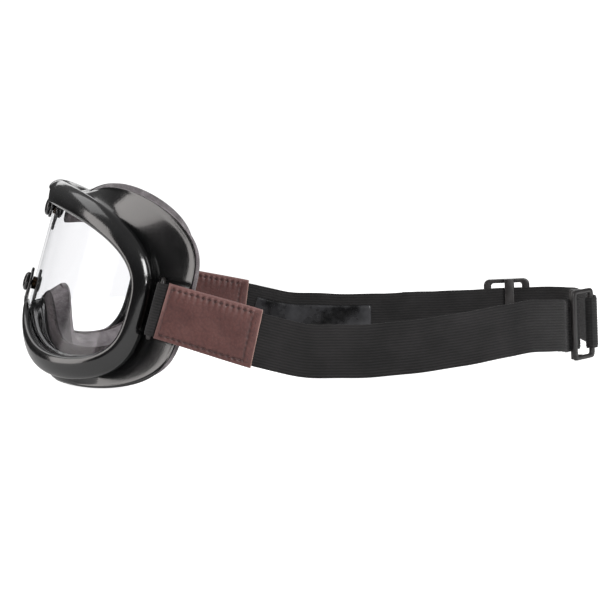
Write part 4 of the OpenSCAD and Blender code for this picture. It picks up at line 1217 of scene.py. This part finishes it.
@finish("white_card")
def white_paper(mm):
    """Matt white card, lit from below: near white when seen directly, and dimmer to the object."""
    direct = add(mm, "ShaderNodeLightPath").outputs["Is Camera Ray"]
    return {
        "Base Color": (0.8, 0.8, 0.8, 1),
        "Roughness": 0.95,
        "Specular IOR Level": 0.1,
        "Emission Color": (1, 1, 1, 1),
        "Emission Strength": ranged(direct, 0.22, 0.85, 0.0, 1.0),
    }


def floor_disc(radius, rings, steps):
    """Flat disc of rings about the origin."""
    r, a = np.linspace(0.001, radius, rings)[:, None], circle(steps)
    points = together(r * np.cos(a), r * np.sin(a), -0.05)
    return put_mesh("floor", points, quads(rings, steps)[:, ::-1].tolist(), False)


floor = floor_disc(640.0, 6, 64)
floor.data.materials.append(white_paper)

scene = bpy.context.scene
world = bpy.data.worlds.new("studio")
scene.world = world
world.use_nodes = True
sky = world.node_tree
sky.nodes.clear()
ray = add(sky, "ShaderNodeLightPath").outputs["Is Camera Ray"]
where = add(sky, "ShaderNodeTexCoord").outputs["Generated"]
height = add(sky, "ShaderNodeSeparateXYZ", {0: where}).outputs[2]
# Seen directly the studio is white; to the object it is a dim room with a bright ceiling
ceiling = ranged(height, 0.06, 0.32, 0.1, 0.9, interpolation_type="SMOOTHSTEP")
strength = add(sky, "ShaderNodeMix", {0: ray, 2: ceiling, 3: 1.1}, data_type="FLOAT").outputs[0]
dome = add(sky, "ShaderNodeBackground", {"Color": (1, 1, 1, 1), "Strength": strength})
add(sky, "ShaderNodeOutputWorld", {"Surface": dome.outputs[0]})


def axes(right, up, back, place):
    """Matrix of a camera or lamp that looks against back from a place in metres."""
    return Matrix([[right[k], up[k], back[k], place[k]] for k in range(3)] + [[0, 0, 0, 1]])


def lamp(name, place, aim, size, power, colour=(1, 1, 1)):
    """Area lamp at a place in millimetres, facing a point; its size is in metres and its power in watts."""
    data = bpy.data.lights.new(name, "AREA")
    data.shape = "RECTANGLE"
    data.size, data.size_y = size
    data.energy = power
    data.color = colour
    light = put_object(name, data)
    place, aim = np.array(place, float) * MM, np.array(aim, float) * MM
    back = unit(place - aim)
    right = unit(np.cross([0.0, 0.02, 1.0], back))
    up = np.cross(back, right)
    light.matrix_world = axes(right, up, back, place)


lamp("window", (289, -1207, 400), (60, -80, 60), (0.7, 1.05), 9.0, (1.0, 0.96, 0.94))
lamp("key", (800, 560, 480), (70, 0, 40), (0.4, 0.4), 7.5)
lamp("low_spot", (1150, 750, 136), (76, -81, 44), (0.1, 0.18), 1.4)
lamp("overhead", (-200, -560, 1000), (0, -60, 40), (0.8, 0.6), 3.0)
lamp("backdrop", (-1100, 0, 430), (0, -100, 60), (0.9, 0.38), 1.4)

# Camera: level with the photographer's eye, near side on, the picture turned a little
AZIMUTH, ELEVATION, ROLL = np.radians([86.8, 3.9, 2.2])
TARGET, DISTANCE = np.array([0.0, -2.94, 31.0]), 1450.0
PIXELS_PER_MM, PHOTO_PIXELS, SENSOR = 2.03, 612, 36.0
level = np.array([np.cos(AZIMUTH), np.sin(AZIMUTH), 0.0])
ahead = np.array([-level[1], level[0], 0.0])
back = np.array([0.0, 0.0, np.sin(ELEVATION)]) - ahead * np.cos(ELEVATION)
upright = np.cross(back, level)
right = level * np.cos(ROLL) - upright * np.sin(ROLL)
up = upright * np.cos(ROLL) + level * np.sin(ROLL)
view = bpy.data.cameras.new("camera")
view.sensor_width = SENSOR
view.lens = PIXELS_PER_MM * DISTANCE / PHOTO_PIXELS * SENSOR
view.clip_start, view.clip_end = 0.05, 40.0
camera = put_object("camera", view)
camera.matrix_world = axes(right, up, back, (TARGET + DISTANCE * back) * MM)
scene.camera = camera
scene.view_settings.view_transform = "Standard"
scene.view_settings.look = "None"
